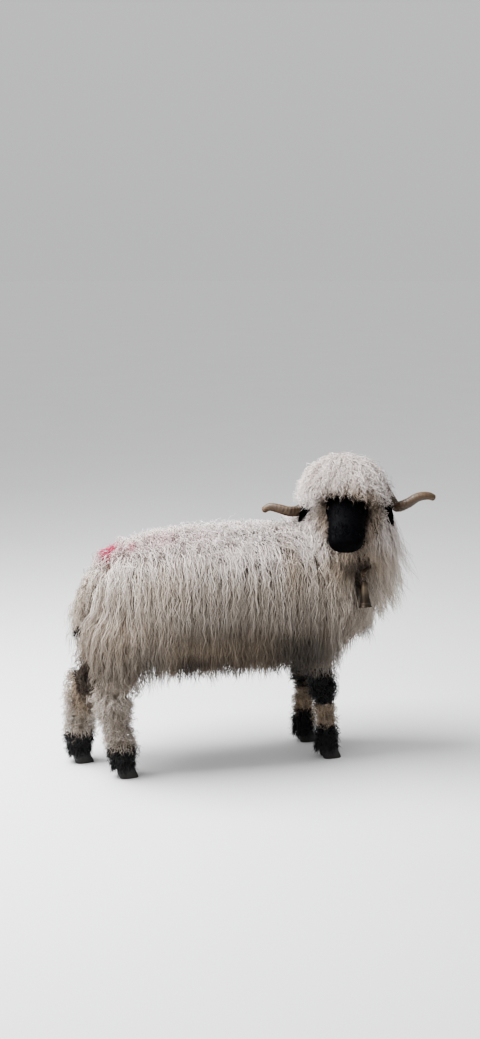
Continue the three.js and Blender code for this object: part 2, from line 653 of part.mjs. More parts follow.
// Bell: a flared brass shell with a loop on its crown and a clapper inside, hung on a short strap.
// It leans out because the wool of the chest pushes its mouth away from the body.
const bellTurn = new THREE.Matrix4().makeRotationX(rad(-BELL.outward)).setPosition(vec(BELL.top));
const bellOuter = [
  [0, 0], [0.72, -0.01], [1, -0.07], [1.18, -0.3], [1.5, -0.62], [1.95, -0.88],
  [BELL.mouth / BELL.crown, -1],
];
const bellRows = [
  ...bellOuter.map(([r, z]) => [
    Math.max(0, r * BELL.crown - BELL.wall), z > -1 ? z * BELL.height - BELL.wall : -BELL.height,
  ]),
  ...bellOuter.toReversed().map(([r, z]) => [r * BELL.crown, z * BELL.height]),
];
const bellProfile = bellRows.map(([r, z]) => new THREE.Vector2(r, z));
const turned = (profile, sides) => new THREE.LatheGeometry(profile, sides).rotateX(Math.PI / 2);
const loop = new THREE.TorusGeometry(6.5, 2, 5, 10).rotateX(Math.PI / 2).translate(0, 0, 5.4);
const bell = largest(union([solid(turned(bellProfile, 12)), solid(loop)]).transform(bellTurn.elements));
add('bell', bell, BRASS);
const clapperAt = 12 - BELL.height;
const clapperTop = -BELL.wall * 1.2 - GAP;
const clapperBall = new THREE.SphereGeometry(6, 8, 6).translate(0, 0, clapperAt);
const clapperRod = new THREE.CylinderGeometry(1.6, 1.6, clapperTop - clapperAt, 6)
  .rotateX(Math.PI / 2)
  .translate(0, 0, (clapperTop + clapperAt) / 2);
add('clapper', union([solid(clapperBall), solid(clapperRod)]).transform(bellTurn.elements), BRASS);

// The wool leaves the bell's outer side free
const bellRoom = solid(new THREE.BoxGeometry(56, 180, BELL.height + 40)
  .translate(0, -80, -BELL.height / 2 - 10)
  .translate(...BELL.top));

// Strap, from the collar out through the wool to the bell's loop
function buckle(height) {
  const angle = rad(COLLAR.buckle);
  return neck.point(COLLAR.at, angle, height - neck.coat(COLLAR.at, angle));
}
const loopTop = 5.4 + 8.5 + GAP;
const strapEnd = vec([0, 0, loopTop]).applyMatrix4(bellTurn);
const strap = (grow) => new Limb([
  buckle(collarTop + GAP), buckle(collarTop + GAP + 16).addScaledVector(DOWN, 3),
  vec([0, 0, loopTop + 12]).applyMatrix4(bellTurn), strapEnd,
].map((at) => ({ at, wide: 8 + grow, up: 2 + grow })), [UP]).solid({ rings: 6, sides: 8 });
const collarKeep = neck.band(COLLAR.at, COLLAR.halfHeight + 0.01, 0, collarTop + GAP);
add('strap', largest(strap(0).subtract(collarKeep)), LEATHER);

// Torso fleece, hanging in shingled locks to a hem that is lower at the chest and thighs
function hemAt(x) {
  const ahead = mix(HEM.shoulder, HEM.chest, ease(x, 330, 470));
  const middle = mix(HEM.belly, ahead, ease(x, 180, 290));
  return mix(HEM.thigh, middle, ease(x, -260, -150));
}
const trunkBodies = [{ limb: trunk }, ...LEGS.map(({ limb }) => ({ limb, rise: 14 }))];
const torsoRoots = [...scatter(trunk, FLEECE.locks, 0.015, 0.93), ...rowsOf(trunk, CHEST_ROWS)];
const torsoLocks = locksOf(torsoRoots, FLEECE, trunkBodies, (lock) => {
  const { root, out, length, lift } = lock;
  if (root.z < 385 && Math.abs(root.y) < 110) return null;
  if (neck.locate(root).gap < 4 && root.z > 560) return null;
  const chest = ease(root.x, 330, 480);
  const rump = 1 - ease(root.x, -360, -250);
  const room = root.z - hemAt(root.x) + 10 * draw();
  if (chest > 0.2 && room < 20) return null;
  const lean = Math.sign(root.y || 1) * 0.6 * Math.max(0, out.z);
  const drop = Math.min(length * (1 - 0.2 * Math.max(0, out.z)), Math.max(46, room * 1.06));
  return {
    length: drop, lift: Math.min(lift * (1 + 0.7 * chest + 0.2 * rump), 0.4 * drop),
    flow: vec([0.1 * chest - 0.15 * rump, lean, 0]),
  };
});
const neckKeep = neck.solid({ ...neckShape, grow: GAP }).subtract(trunk.solid(trunkShape));
const legSolids = LEGS.map(({ name }) => solids.get(`leg_${name}`));
const torso = woolly(trunk.solid(trunkShape), torsoLocks, [
  ...legSolids, solids.get('tail'), neckKeep, head, ...headGuards,
  bell, bellRoom, solids.get('strap'), collarBand,
]);
add('torso', torso, WOOL);

// Ruff: the neck's own locks, longest in front, lying over the chest and the shoulders
const neckCuts = union([trunkKeep, headKeep, groove, strap(GAP + 1), ...keeps]);
const neckCore = neck.solid(neckShape).subtract(neckCuts);
const neckBodies = [{ limb: neck }, { limb: trunk, rise: FLEECE.lift + 14 }, { limb: skull, rise: 6 }];
const ruffLocks = locksOf(rowsOf(neck, RUFF_ROWS), RUFF, neckBodies, ({ root, out, length, lift }) => {
  if (trunk.locate(root).gap < 10 || crown.locate(root).gap < 4) return null;
  const front = ease(out.x, -0.2, 0.7);
  return {
    length: length * mix(0.8, 1.1, front),
    lift: lift * mix(0.55, 1.5, front),
    flow: out.clone().setZ(0).multiplyScalar(0.25),
  };
});
add('collar', collarBand, LEATHER);
const others = [...solids.keys()].filter((name) => !name.startsWith('claw'));
const ruffGuards = [bellRoom, ...others.map((name) => solids.get(name))];
add('neck', woolly(neckCore, ruffLocks, ruffGuards), WOOL);

// The whole, moved so that its box stands centred on the origin
const group = new THREE.Group();
for (const [name, made] of solids) {
  const mesh = new THREE.Mesh(geometryOf(made), new THREE.MeshStandardMaterial(finishes.get(name)));
  mesh.name = name;
  group.add(mesh);
}
const box = new THREE.Box3().setFromObject(group);
const middle = box.getCenter(new THREE.Vector3());
group.position.set(-middle.x, -middle.y, -box.min.z);
group.updateMatrixWorld(true);

export default group;
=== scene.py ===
"""A valais blacknose ewe at life size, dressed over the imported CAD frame.

The flesh is one skin, made of tubes that follow the frame's own dimensions, and the fleece is
grown on it as thousands of thin tapered strands, gathered into locks that hang over the body.
Sizes in the classes are in millimetres in the animal's own frame: X runs from rump to chest,
Y to the animal's left, Z up from the floor. `Place` moves them into the frame in metres.
"""

from __future__ import annotations

import logging
import math
from dataclasses import dataclass, field, fields
from enum import Enum
from typing import Callable, Sequence, Union

import bpy
import numpy as np
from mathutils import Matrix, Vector

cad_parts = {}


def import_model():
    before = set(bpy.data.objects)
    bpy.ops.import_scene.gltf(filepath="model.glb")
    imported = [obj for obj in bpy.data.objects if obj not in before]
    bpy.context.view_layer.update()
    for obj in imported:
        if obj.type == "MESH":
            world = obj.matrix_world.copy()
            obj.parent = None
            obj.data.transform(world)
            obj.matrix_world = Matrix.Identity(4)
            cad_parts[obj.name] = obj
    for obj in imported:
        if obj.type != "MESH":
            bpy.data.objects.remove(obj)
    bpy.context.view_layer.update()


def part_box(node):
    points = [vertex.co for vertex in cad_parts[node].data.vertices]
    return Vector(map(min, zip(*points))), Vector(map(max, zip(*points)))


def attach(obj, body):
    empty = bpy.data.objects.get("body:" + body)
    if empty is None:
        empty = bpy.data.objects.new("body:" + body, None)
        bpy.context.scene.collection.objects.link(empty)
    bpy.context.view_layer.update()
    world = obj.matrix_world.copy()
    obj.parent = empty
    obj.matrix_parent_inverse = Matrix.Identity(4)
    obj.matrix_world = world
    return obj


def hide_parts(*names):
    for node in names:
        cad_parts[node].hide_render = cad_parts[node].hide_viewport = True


LOG = logging.getLogger("ewe")
Array = np.ndarray
Colour = tuple[float, float, float, float]
Socket = bpy.types.NodeSocket
Value = Union[float, Sequence[float], Socket]
GOLDEN = math.pi * (3 - math.sqrt(5))
TURN = 2 * math.pi


# Arithmetic on whole arrays


def unit(vectors: Array) -> Array:
    """Vectors scaled to length one along the last axis."""
    return vectors / np.maximum(np.linalg.norm(vectors, axis=-1, keepdims=True), 1e-9)


def dot(a: Array, b: Array) -> Array:
    """Scalar products along the last axis, which is kept."""
    return (a * b).sum(-1, keepdims=True)


def ease(x: Array | float, low: float, high: float) -> Array:
    """A smooth step from 0 at low to 1 at high: 3t^2 - 2t^3 of the share t between them."""
    t = np.clip((np.asarray(x, float) - low) / (high - low), 0, 1)
    return t * t * (3 - 2 * t)


def mix(a: Array | float, b: Array | float, t: Array | float) -> Array:
    """A straight blend from a to b by the share t."""
    return a + (b - a) * t


def bump(x: Array, middle: float, half: float) -> Array:
    """A bell curve of height 1 at middle, exp(-((x - middle) / half)^2)."""
    return np.exp(-(((x - middle) / half) ** 2))


def smooth_path(points: Array, t: Array) -> Array:
    """A centripetal Catmull-Rom curve through rows of points, by even shares of its spans.

    The knots are spaced by the square root of each chord. Tangents at a span's two ends come
    from the slopes of the chords beside them, and a cubic joins the ends.

    Args:
        points: Rows of points, at least two.
        t: Places on the curve from 0 to 1.

    Returns:
        One row for each place.
    """
    points = np.asarray(points, float)
    count = len(points)
    padded = np.vstack([2 * points[0] - points[1], points, 2 * points[-1] - points[-2]])
    place = np.clip(np.asarray(t, float), 0, 1) * (count - 1)
    span = np.minimum(place.astype(int), count - 2)
    w = (place - span)[:, None]
    p0, p1, p2, p3 = (padded[span + k] for k in range(4))
    d0, d1, d2 = (
        np.maximum(np.linalg.norm(b - a, axis=1, keepdims=True) ** 0.5, 1e-4)
        for a, b in ((p0, p1), (p1, p2), (p2, p3))
    )
    m1 = ((p1 - p0) / d0 - (p2 - p0) / (d0 + d1) + (p2 - p1) / d1) * d1
    m2 = ((p2 - p1) / d1 - (p3 - p1) / (d1 + d2) + (p3 - p2) / d2) * d1
    return (
        p1 + m1 * w + (3 * (p2 - p1) - 2 * m1 - m2) * w**2 + (2 * (p1 - p2) + m1 + m2) * w**3
    )


def turns(count: int) -> Array:
    """Even angles round a full turn, without its end."""
    return np.arange(count) * TURN / count


def lattice(along: Array, sides: int) -> tuple[Array, Array]:
    """Every pair of a place along and one of even angles round, as two rows."""
    t, angle = np.meshgrid(along, turns(sides), indexing="ij")
    return t.ravel(), angle.ravel()


# Meshes


def make_mesh(
    name: str,
    points: Array,
    faces: Sequence[Array],
    attributes: dict[str, Array] | None = None,
    uv: Array | None = None,
) -> bpy.types.Object:
    """An object at the origin from point and face arrays.

    Args:
        name: The piece's name.
        points: Rows of points in metres, in the frame.
        faces: Arrays of corner indices, each array with faces of one corner count.
        attributes: Values per point, one or three to a point, by attribute name.
        uv: A place per point for the map named OFBake.

    Returns:
        The new object, linked to the scene.
    """
    mesh = bpy.data.meshes.new(name)
    corners = np.concatenate([f.ravel() for f in faces]).astype(np.int32)
    totals = np.concatenate([np.full(len(f), f.shape[1]) for f in faces]).astype(np.int32)
    mesh.vertices.add(len(points))
    mesh.vertices.foreach_set("co", np.asarray(points, np.float32).ravel())
    mesh.loops.add(len(corners))
    mesh.loops.foreach_set("vertex_index", corners)
    mesh.polygons.add(len(totals))
    starts = np.concatenate([[0], np.cumsum(totals)[:-1]]).astype(np.int32)
    mesh.polygons.foreach_set("loop_start", starts)
    mesh.polygons.foreach_set("use_smooth", np.ones(len(totals), bool))
    mesh.update(calc_edges=True)
    for key, values in (attributes or {}).items():
        wide = values.ndim == 2
        made = mesh.attributes.new(key, "FLOAT_VECTOR" if wide else "FLOAT", "POINT")
        made.data.foreach_set("vector" if wide else "value", values.astype(np.float32).ravel())
    if uv is not None:
        layer = mesh.uv_layers.new(name="OFBake")
        layer.data.foreach_set("uv", uv[corners].astype(np.float32).ravel())
    piece = bpy.data.objects.new(name, mesh)
    bpy.context.scene.collection.objects.link(piece)
    return piece


def tube_faces(rings: int, sides: int, closed_ends: bool = True) -> list[Array]:
    """Faces of rings of points, each point joined to the next in its ring and the next ring.

    With closed ends the point after the rings caps the first ring and the one after it the
    last. Faces point outwards where the rings turn from the left side over the top.

    Args:
        rings: How many rings there are.
        sides: Points in each ring.
        closed_ends: Whether two more points close the ends.

    Returns:
        An array of quads and, with closed ends, one of triangles.
    """
    ring, side = np.meshgrid(np.arange(rings - 1), np.arange(sides), indexing="ij")
    after = (side + 1) % sides
    a, b = ring * sides + side, ring * sides + after
    quads = np.stack([a, b, b + sides, a + sides], -1).reshape(-1, 4)
    if not closed_ends:
        return [quads]
    s = np.arange(sides)
    t = (s + 1) % sides
    first, last = rings * sides, rings * sides + 1
    end = (rings - 1) * sides
    caps = np.concatenate([
        np.stack([np.full(sides, first), t, s], -1),
        np.stack([np.full(sides, last), end + s, end + t], -1),
    ])
    return [quads, caps]


def torus_faces(rings: int, sides: int) -> Array:
    """Quads of a closed chain of rings, whose last ring is joined to the first.

    Args:
        rings: How many rings there are.
        sides: Points in each ring.

    Returns:
        Rows of four corners: a point, the next in its ring, and the two in the next ring.
    """
    ring, side = (v.ravel() for v in np.meshgrid(np.arange(rings), np.arange(sides), indexing="ij"))
    here, there = ring * sides, (ring + 1) % rings * sides
    after = (side + 1) % sides
    return np.stack([here + side, here + after, there + after, there + side], -1)


def settle(
    piece: bpy.types.Object, material: bpy.types.Material, slot: str, *nodes: str
) -> bpy.types.Object:
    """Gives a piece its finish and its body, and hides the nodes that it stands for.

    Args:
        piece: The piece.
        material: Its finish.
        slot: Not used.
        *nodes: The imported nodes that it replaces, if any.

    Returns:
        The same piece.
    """
    piece.data.materials.append(material)
    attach(piece, "root")
    if nodes:
        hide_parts(*nodes)
    return piece


@dataclass
class Place:
    """Where the animal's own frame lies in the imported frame, worked out from two claws."""

    shift: Array = field(default_factory=lambda: np.zeros(3))

    @classmethod
    def found(cls) -> "Place":
        """The shift, from the boxes of the right front foot's two claws.

        Returns:
            A place whose shift takes millimetres of the animal to metres of the frame.
        """
        foot = Anatomy.FEET["front_right"]
        low_r, high_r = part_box("claw_front_right_right")
        _, high_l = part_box("claw_front_right_left")
        x = (low_r.x + high_r.x) / 2 - (foot[0] + Anatomy.CLAW_AHEAD) / 1000
        y = (low_r.y + high_l.y) / 2 - foot[1] / 1000
        return cls(np.array([x, y, 0.0]))

    def put(self, points: Array) -> Array:
        """Points in metres in the frame, from millimetres of the animal."""
        return points / 1000 + self.shift

    def piece(
        self, name: str, points: Array, faces: Sequence[Array], values: dict[str, Array],
        material: bpy.types.Material, slot: str, *nodes: str, uv: Array | None = None,
    ) -> bpy.types.Object:
        """One finished piece from points of the animal, with what make_mesh and settle take."""
        made = make_mesh(name, self.put(points), faces, values, uv)
        return settle(made, material, slot, *nodes)


# The body's shape


@dataclass
class Tube:
    """A body part as a tube: a smooth path with an oval section that changes along it.

    A section is a superellipse with its own half width and its own reach above and below the
    path. `coat` gives the depth of dense wool over the skin at a place and an angle.
    """

    at: Array
    sizes: Array
    above: Array
    power: float = 2.0
    ends: tuple[float, float] = (0.0, 0.0)
    coat: Callable[[Array, Array], Array] = lambda t, angle: np.zeros_like(t)
    samples: int = 96
    table: dict[str, Array] = field(default_factory=dict)

    def __post_init__(self) -> None:
        """Keeps the path's frames at even places, for finding what lies near a point."""
        t = np.linspace(0, 1, self.samples)
        self.table = {"t": t, **self.frame(t)}

    def frame(self, t: Array) -> dict[str, Array]:
        """Place, directions and sizes at places on the path.

        Args:
            t: Places from 0 to 1.

        Returns:
            Arrays named at, along, side, up and size.
        """
        step = 1e-4
        along = unit(
            smooth_path(self.at, np.minimum(t + step, 1))
            - smooth_path(self.at, np.maximum(t - step, 0))
        )
        hint = (
            smooth_path(self.above, t)
            if len(self.above) > 1
            else np.repeat(self.above, len(t), 0)
        )
        side = unit(np.cross(hint, along))
        return {
            "at": smooth_path(self.at, t),
            "along": along,
            "side": side,
            "up": np.cross(along, side),
            "size": smooth_path(self.sizes, t),
        }

    def reach(self, size: Array, t: Array, angle: Array, grow: Array | float) -> Array:
        """The section's radius at an angle: 1 / (|c/w|^p + |s/h|^p)^(1/p).

        Args:
            size: Rows of half width w, and half height h above and below the path.
            t: Places on the path, for the depth of the wool.
            angle: Angles from the side over the top, whose cosine is c and sine s.
            grow: What is added to the wool's depth.

        Returns:
            One radius for each place.
        """
        s = np.sin(angle)
        more = self.coat(t, angle) + grow
        wide = size[:, 0] + more
        tall = np.where(s > 0, size[:, 1], size[:, 2]) + more
        total = (np.abs(np.cos(angle)) / wide) ** self.power + (np.abs(s) / tall) ** self.power
        return total ** (-1 / self.power)

    @staticmethod
    def spoke(f: dict[str, Array], angle: Array) -> Array:
        """Directions from the path at angles: side times cosine plus up times sine."""
        return f["side"] * np.cos(angle)[:, None] + f["up"] * np.sin(angle)[:, None]

    def point(self, t: Array, angle: Array, grow: Array | float = 0.0) -> Array:
        """Points on the tube at places and angles, `grow` outside the dense wool."""
        f = self.frame(t)
        return f["at"] + self.reach(f["size"], t, angle, grow)[:, None] * self.spoke(f, angle)

    def skin(self, t: Array, angle: Array, grow: Array | float = 0.0) -> Array:
        """Points on the bare skin, which lies inside by the depth of the dense wool."""
        return self.point(t, angle, grow - self.coat(t, angle))

    def outward(self, t: Array, angle: Array) -> Array:
        """The way out at places and angles: the surface's own normal.

        It is the cross product of small steps round and along the surface.

        Args:
            t: Places on the path.
            angle: Angles round it.

        Returns:
            Rows of unit vectors.
        """
        e = 0.01
        along = self.point(np.minimum(1, t + e), angle) - self.point(np.maximum(0, t - e), angle)
        around = self.point(t, angle + e) - self.point(t, angle - e)
        return unit(np.cross(around, along))

    def locate(self, points: Array) -> tuple[Array, Array, Array]:
        """How far points lie outside the dense wool, the way out there, and the place along.

        The nearest frame of the path is taken. The way out is the superellipse's gradient,
        and past an end the tube is closed by half an ellipsoid.

        Args:
            points: Rows of points.

        Returns:
            Gaps, ways out, and places along the path.
        """
        tab = self.table
        square = (
            (points**2).sum(1)[:, None]
            + (tab["at"] ** 2).sum(1)[None]
            - 2 * points @ tab["at"].T
        )
        k = square.argmin(1)
        t = tab["t"][k]
        offset = points - tab["at"][k]
        past = dot(offset, tab["along"][k])
        inside = ((k > 0) & (k < self.samples - 1))[:, None]
        offset = np.where(inside, offset - past * tab["along"][k], offset)
        away = np.maximum(np.linalg.norm(offset, axis=1), 1e-6)
        u = dot(offset, tab["side"][k])[:, 0]
        v = dot(offset, tab["up"][k])[:, 0]
        angle = np.arctan2(v, u)
        size = tab["size"][k]
        reach = self.reach(size, t, angle, 0.0)
        more = self.coat(t, angle)
        wide = size[:, 0] + more
        tall = np.where(v > 0, size[:, 1], size[:, 2]) + more
        gu = np.sign(u) * np.abs(u / wide) ** (self.power - 1) / wide
        gv = np.sign(v) * np.abs(v / tall) ** (self.power - 1) / tall
        out = unit(gu[:, None] * tab["side"][k] + gv[:, None] * tab["up"][k] + 1e-12)
        gap = away - reach
        cap = np.where(k == 0, self.ends[0], self.ends[1]) + 1.0
        flat = np.sqrt(np.maximum(away**2 - past[:, 0] ** 2, 0))
        scale = np.maximum(np.hypot(past[:, 0] / cap, flat / reach), 0.01)
        gap = np.where(inside[:, 0], gap, away * (1 - 1 / scale))
        out = np.where(inside, out, unit(offset))
        return gap, out, t

    def shell(self, rings: int, sides: int, grow: float = 0.0) -> tuple[Array, list[Array]]:
        """A closed mesh of the bare skin, with a rounded cap at each end.

        Args:
            rings: Rings along the path.
            sides: Points round each ring.
            grow: How far outside the skin it lies.

        Returns:
            Points and faces.
        """
        body = self.skin(*lattice(np.linspace(0, 1, rings), sides), grow)
        f = self.frame(np.array([0.0, 1.0]))
        first = f["at"][0] - f["along"][0] * (self.ends[0] + grow)
        last = f["at"][1] + f["along"][1] * (self.ends[1] + grow)
        return np.vstack([body, first, last]), tube_faces(rings, sides)


def rows_of(values: Sequence[Sequence[float]]) -> Array:
    """Rows of numbers as an array."""
    return np.array(values, float)


@dataclass
class Anatomy:
    """The animal's tubes, from the same dimensions as the frame's solids."""

    back: float = 716.0
    rear: float = -360.0
    front: float = 488.0
    half_width: float = 150.0
    half_depth: float = 170.0
    core: float = 29.0
    ruff_core: float = 34.0
    head_length: float = 292.0
    head_half: float = 64.0
    poll: tuple[float, float, float] = (421.0, -84.0, 868.0)
    yaw: float = -111.0
    pitch: float = 35.0
    roll: float = 3.0
    crown_aside: float = 14.0
    claw_height: float = 42.0

    FEET = {
        "hind_right": (-313.0, -100.0),
        "hind_left": (-424.0, 74.0),
        "front_right": (356.0, -88.0),
        "front_left": (332.0, 86.0),
    }
    JOINTS = {
        "hind_right": ((-288.0, -86.0), (-346.0, -98.0)),
        "hind_left": ((-294.0, 86.0), (-408.0, 80.0)),
        "front_right": ((312.0, -84.0), (342.0, -90.0)),
        "front_left": ((312.0, 84.0), (336.0, 86.0)),
    }
    CLAW_AHEAD = 12.08  # a claw's middle ahead of its foot's middle

    def __post_init__(self) -> None:
        """Builds every tube."""
        self.head_turn, self.head_at = self.head_frame()
        self.trunk = self.make_trunk()
        self.skull = self.make_skull()
        self.crown = self.make_crown()
        self.neck = self.make_neck()
        self.legs = {name: self.make_leg(name) for name in self.FEET}
        self.tail = self.make_tail()

    def head_frame(self) -> tuple[Array, Array]:
        """The head's turn and place: roll about X, then pitch about Y, then yaw about Z.

        Returns:
            A matrix whose columns are ahead, left and crown, and the poll.
        """
        r, p, y = (math.radians(a) for a in (self.roll, self.pitch, self.yaw))
        cx, sx, cy, sy, cz, sz = (
            math.cos(r), math.sin(r), math.cos(p), math.sin(p), math.cos(y), math.sin(y)
        )
        about_x = rows_of([[1, 0, 0], [0, cx, -sx], [0, sx, cx]])
        about_y = rows_of([[cy, 0, sy], [0, 1, 0], [-sy, 0, cy]])
        about_z = rows_of([[cz, -sz, 0], [sz, cz, 0], [0, 0, 1]])
        return about_z @ about_y @ about_x, rows_of([self.poll])[0]

    def in_head(self, points: Array) -> Array:
        """Points of the head's frame in the animal's."""
        return points @ self.head_turn.T + self.head_at

    def from_head(self, points: Array) -> Array:
        """Points of the animal's frame in the head's."""
        return (points - self.head_at) @ self.head_turn

    @staticmethod
    def near_head(local: Array, reach: float) -> Array:
        """Which points, given in the head's frame, lie within a reach of the head's middle."""
        return np.linalg.norm(local - [110, 0, -10], axis=1) < reach

    def in_level(self, across_back_up: Array, way: float) -> Array:
        """Points given across, back and up from the poll, in a frame with the head's heading.

        Args:
            across_back_up: Rows of millimetres, across towards the side of `way`.
            way: 1 for the head's left side, -1 for its right.

        Returns:
            Points of the animal.
        """
        y = math.radians(self.yaw)
        turn = rows_of([[math.cos(y), -math.sin(y), 0], [math.sin(y), math.cos(y), 0], [0, 0, 1]])
        local = np.stack(
            [-across_back_up[:, 1], way * across_back_up[:, 0], across_back_up[:, 2]], 1
        )
        return local @ turn.T + self.head_at + np.array([0, 0, 26.0])

    def make_trunk(self) -> Tube:
        """The trunk, from rows of place, width, depth and sink.

        Returns:
            Its tube.
        """
        rows = rows_of([
            [0, 0.3, 0.3, 26], [0.05, 0.64, 0.66, 20], [0.13, 0.88, 0.88, 12],
            [0.26, 0.97, 0.97, 4], [0.44, 1, 1, 0], [0.6, 1, 1, 0], [0.73, 0.96, 0.95, 6],
            [0.84, 0.84, 0.8, 14], [0.93, 0.62, 0.6, 14], [1, 0.3, 0.34, 12],
        ])
        x = self.rear + (self.front - self.rear) * rows[:, 0]
        at = np.stack([x, 0 * x, self.back - self.half_depth - rows[:, 3]], 1)
        deep = self.half_depth * rows[:, 2]
        sizes = np.stack([self.half_width * rows[:, 1], deep, deep], 1)
        return Tube(
            at, sizes, rows_of([[0, 0, 1]]), 2.3, (12, 20),
            lambda t, angle: self.core + 14 * ease(t, 0.75, 1),
        )

    def make_skull(self) -> Tube:
        """The skull under its short hair, from rows of place, width, and reach up and down.

        Returns:
            Its tube.
        """
        rows = rows_of([
            [-0.15, 0.55, 0.5, 0.6], [-0.07, 0.9, 0.78, 0.95], [0.05, 1.02, 0.9, 1.12],
            [0.17, 1.0, 0.88, 1.22], [0.29, 0.95, 0.82, 1.2], [0.42, 0.88, 0.74, 1.06],
            [0.55, 0.85, 0.66, 0.86], [0.67, 0.88, 0.6, 0.74], [0.77, 0.88, 0.52, 0.64],
            [0.84, 0.66, 0.36, 0.46],
        ])
        ahead = self.head_length * rows[:, 0]
        at = self.in_head(np.stack([ahead, 0 * ahead, 0 * ahead], 1))
        return Tube(at, self.head_half * rows[:, 1:], self.head_turn[:, 2][None], 2.4, (14, 9))

    def make_crown(self) -> Tube:
        """The dense wool on the crown, a cap drawn down over the cheeks.

        Returns:
            Its tube.
        """
        rows = rows_of([
            [-84, 14, 34, 30, 40], [-62, 18, 80, 52, 66], [-28, 24, 108, 68, 82],
            [10, 26, 114, 72, 80], [44, 26, 100, 62, 60], [66, 30, 64, 42, 34],
        ])
        aside = np.full(len(rows), -self.crown_aside)
        at = self.in_head(np.stack([rows[:, 0], aside, rows[:, 1]], 1))
        return Tube(at, rows[:, 2:], self.head_turn[:, 2][None], 2.0, (6, 6))

    def make_neck(self) -> Tube:
        """The neck, which leaves the chest, climbs and turns to the right with the head.

        Returns:
            Its tube.
        """
        at = rows_of([
            [262, 0, 560], [352, -2, 620], [412, -20, 702], [436, -50, 784], [432, -76, 846]
        ])
        sizes = rows_of([[94, 120, 120], [96, 110, 132], [88, 90, 114], [74, 72, 92], [60, 60, 60]])
        above = rows_of([
            [-0.3, 0, 1], [-0.6, 0.15, 0.8], [-0.6, 0.5, 0.6], [-0.4, 0.9, 0.4], [0.2, 1, 0.4]
        ])
        return Tube(
            at, sizes, above, 2.0, (6, 6),
            lambda t, angle: self.ruff_core * (0.68 + 0.62 * np.maximum(0, -np.sin(angle))),
        )

    def make_leg(self, name: str) -> Tube:
        """A leg, from rows of height, share of the way up to the next joint, and half widths.

        Args:
            name: Which leg.

        Returns:
            Its tube, from the hip down to the claws.
        """
        hind = name.startswith("hind")
        foot = np.array(self.FEET[name])
        hip, joint = (np.array(p) for p in self.JOINTS[name])
        low = self.claw_height
        if hind:
            upper = [
                [500, 1, 62, 104], [430, 0.9, 58, 92], [350, 0.72, 47, 60], [288, 0.27, 34, 42],
            ]
            lower = [
                [246, 1, 27, 36], [204, 0.76, 22, 27], [150, 0.44, 19, 22], [98, 0.14, 22, 27],
                [66, 0.05, 20, 26], [low, 0, 24, 30], [low - 14, 0, 24, 30],
            ]
        else:
            upper = [
                [490, 1, 54, 84], [420, 0.86, 47, 66], [345, 0.5, 38, 46], [278, 0.14, 30, 34],
            ]
            lower = [
                [228, 1, 30, 35], [168, 0.55, 20, 23], [98, 0.12, 22, 27],
                [66, 0.04, 20, 26], [low, 0, 24, 30], [low - 14, 0, 24, 30],
            ]
        places, sizes = [], []
        for a, b, rows in ((joint, hip, upper), (foot, joint, lower)):
            for z, share, wide, deep in rows:
                x, y = a + (b - a) * share
                places.append([x, y, z])
                sizes.append([wide, deep, deep])
        coat = 11.0 if hind else 4.0
        return Tube(
            rows_of(places), rows_of(sizes), rows_of([[1, 0, 0]]), 2.0, (0, 0),
            lambda t, angle: coat * (1 - ease(t, 0.7, 0.86)),
        )

    def ear_rows(self, way: float) -> Array:
        """Places along an ear, with its share of width.

        Args:
            way: 1 for the left ear, -1 for the right, which hangs further out.

        Returns:
            Rows of millimetres across, back and up from the poll, and the share.
        """
        s = -8.0 * way
        return rows_of([
            [52, 6, -6, 0.4], [66, 2, -12, 0.5], [92, -4, -38, 0.86], [116 + s * 0.4, -8, -66, 1],
            [134 + s * 0.8, -8, -98, 0.78], [146 + s, -4, -128, 0.22],
        ])

    def make_tail(self) -> Tube:
        """The tail, which hangs down behind.

        Returns:
            Its tube.
        """
        at = rows_of([
            [-352, 0, 626], [-394, 0, 596], [-414, 0, 545], [-423, 0, 490], [-424, 0, 444]
        ])
        sizes = rows_of([[24, 20, 20], [28, 18, 18], [31, 18, 18], [28, 16, 16], [17, 11, 11]])
        return Tube(at, sizes, rows_of([[-1, 0, 0.2]]), 2.0, (4, 8))


# Markings


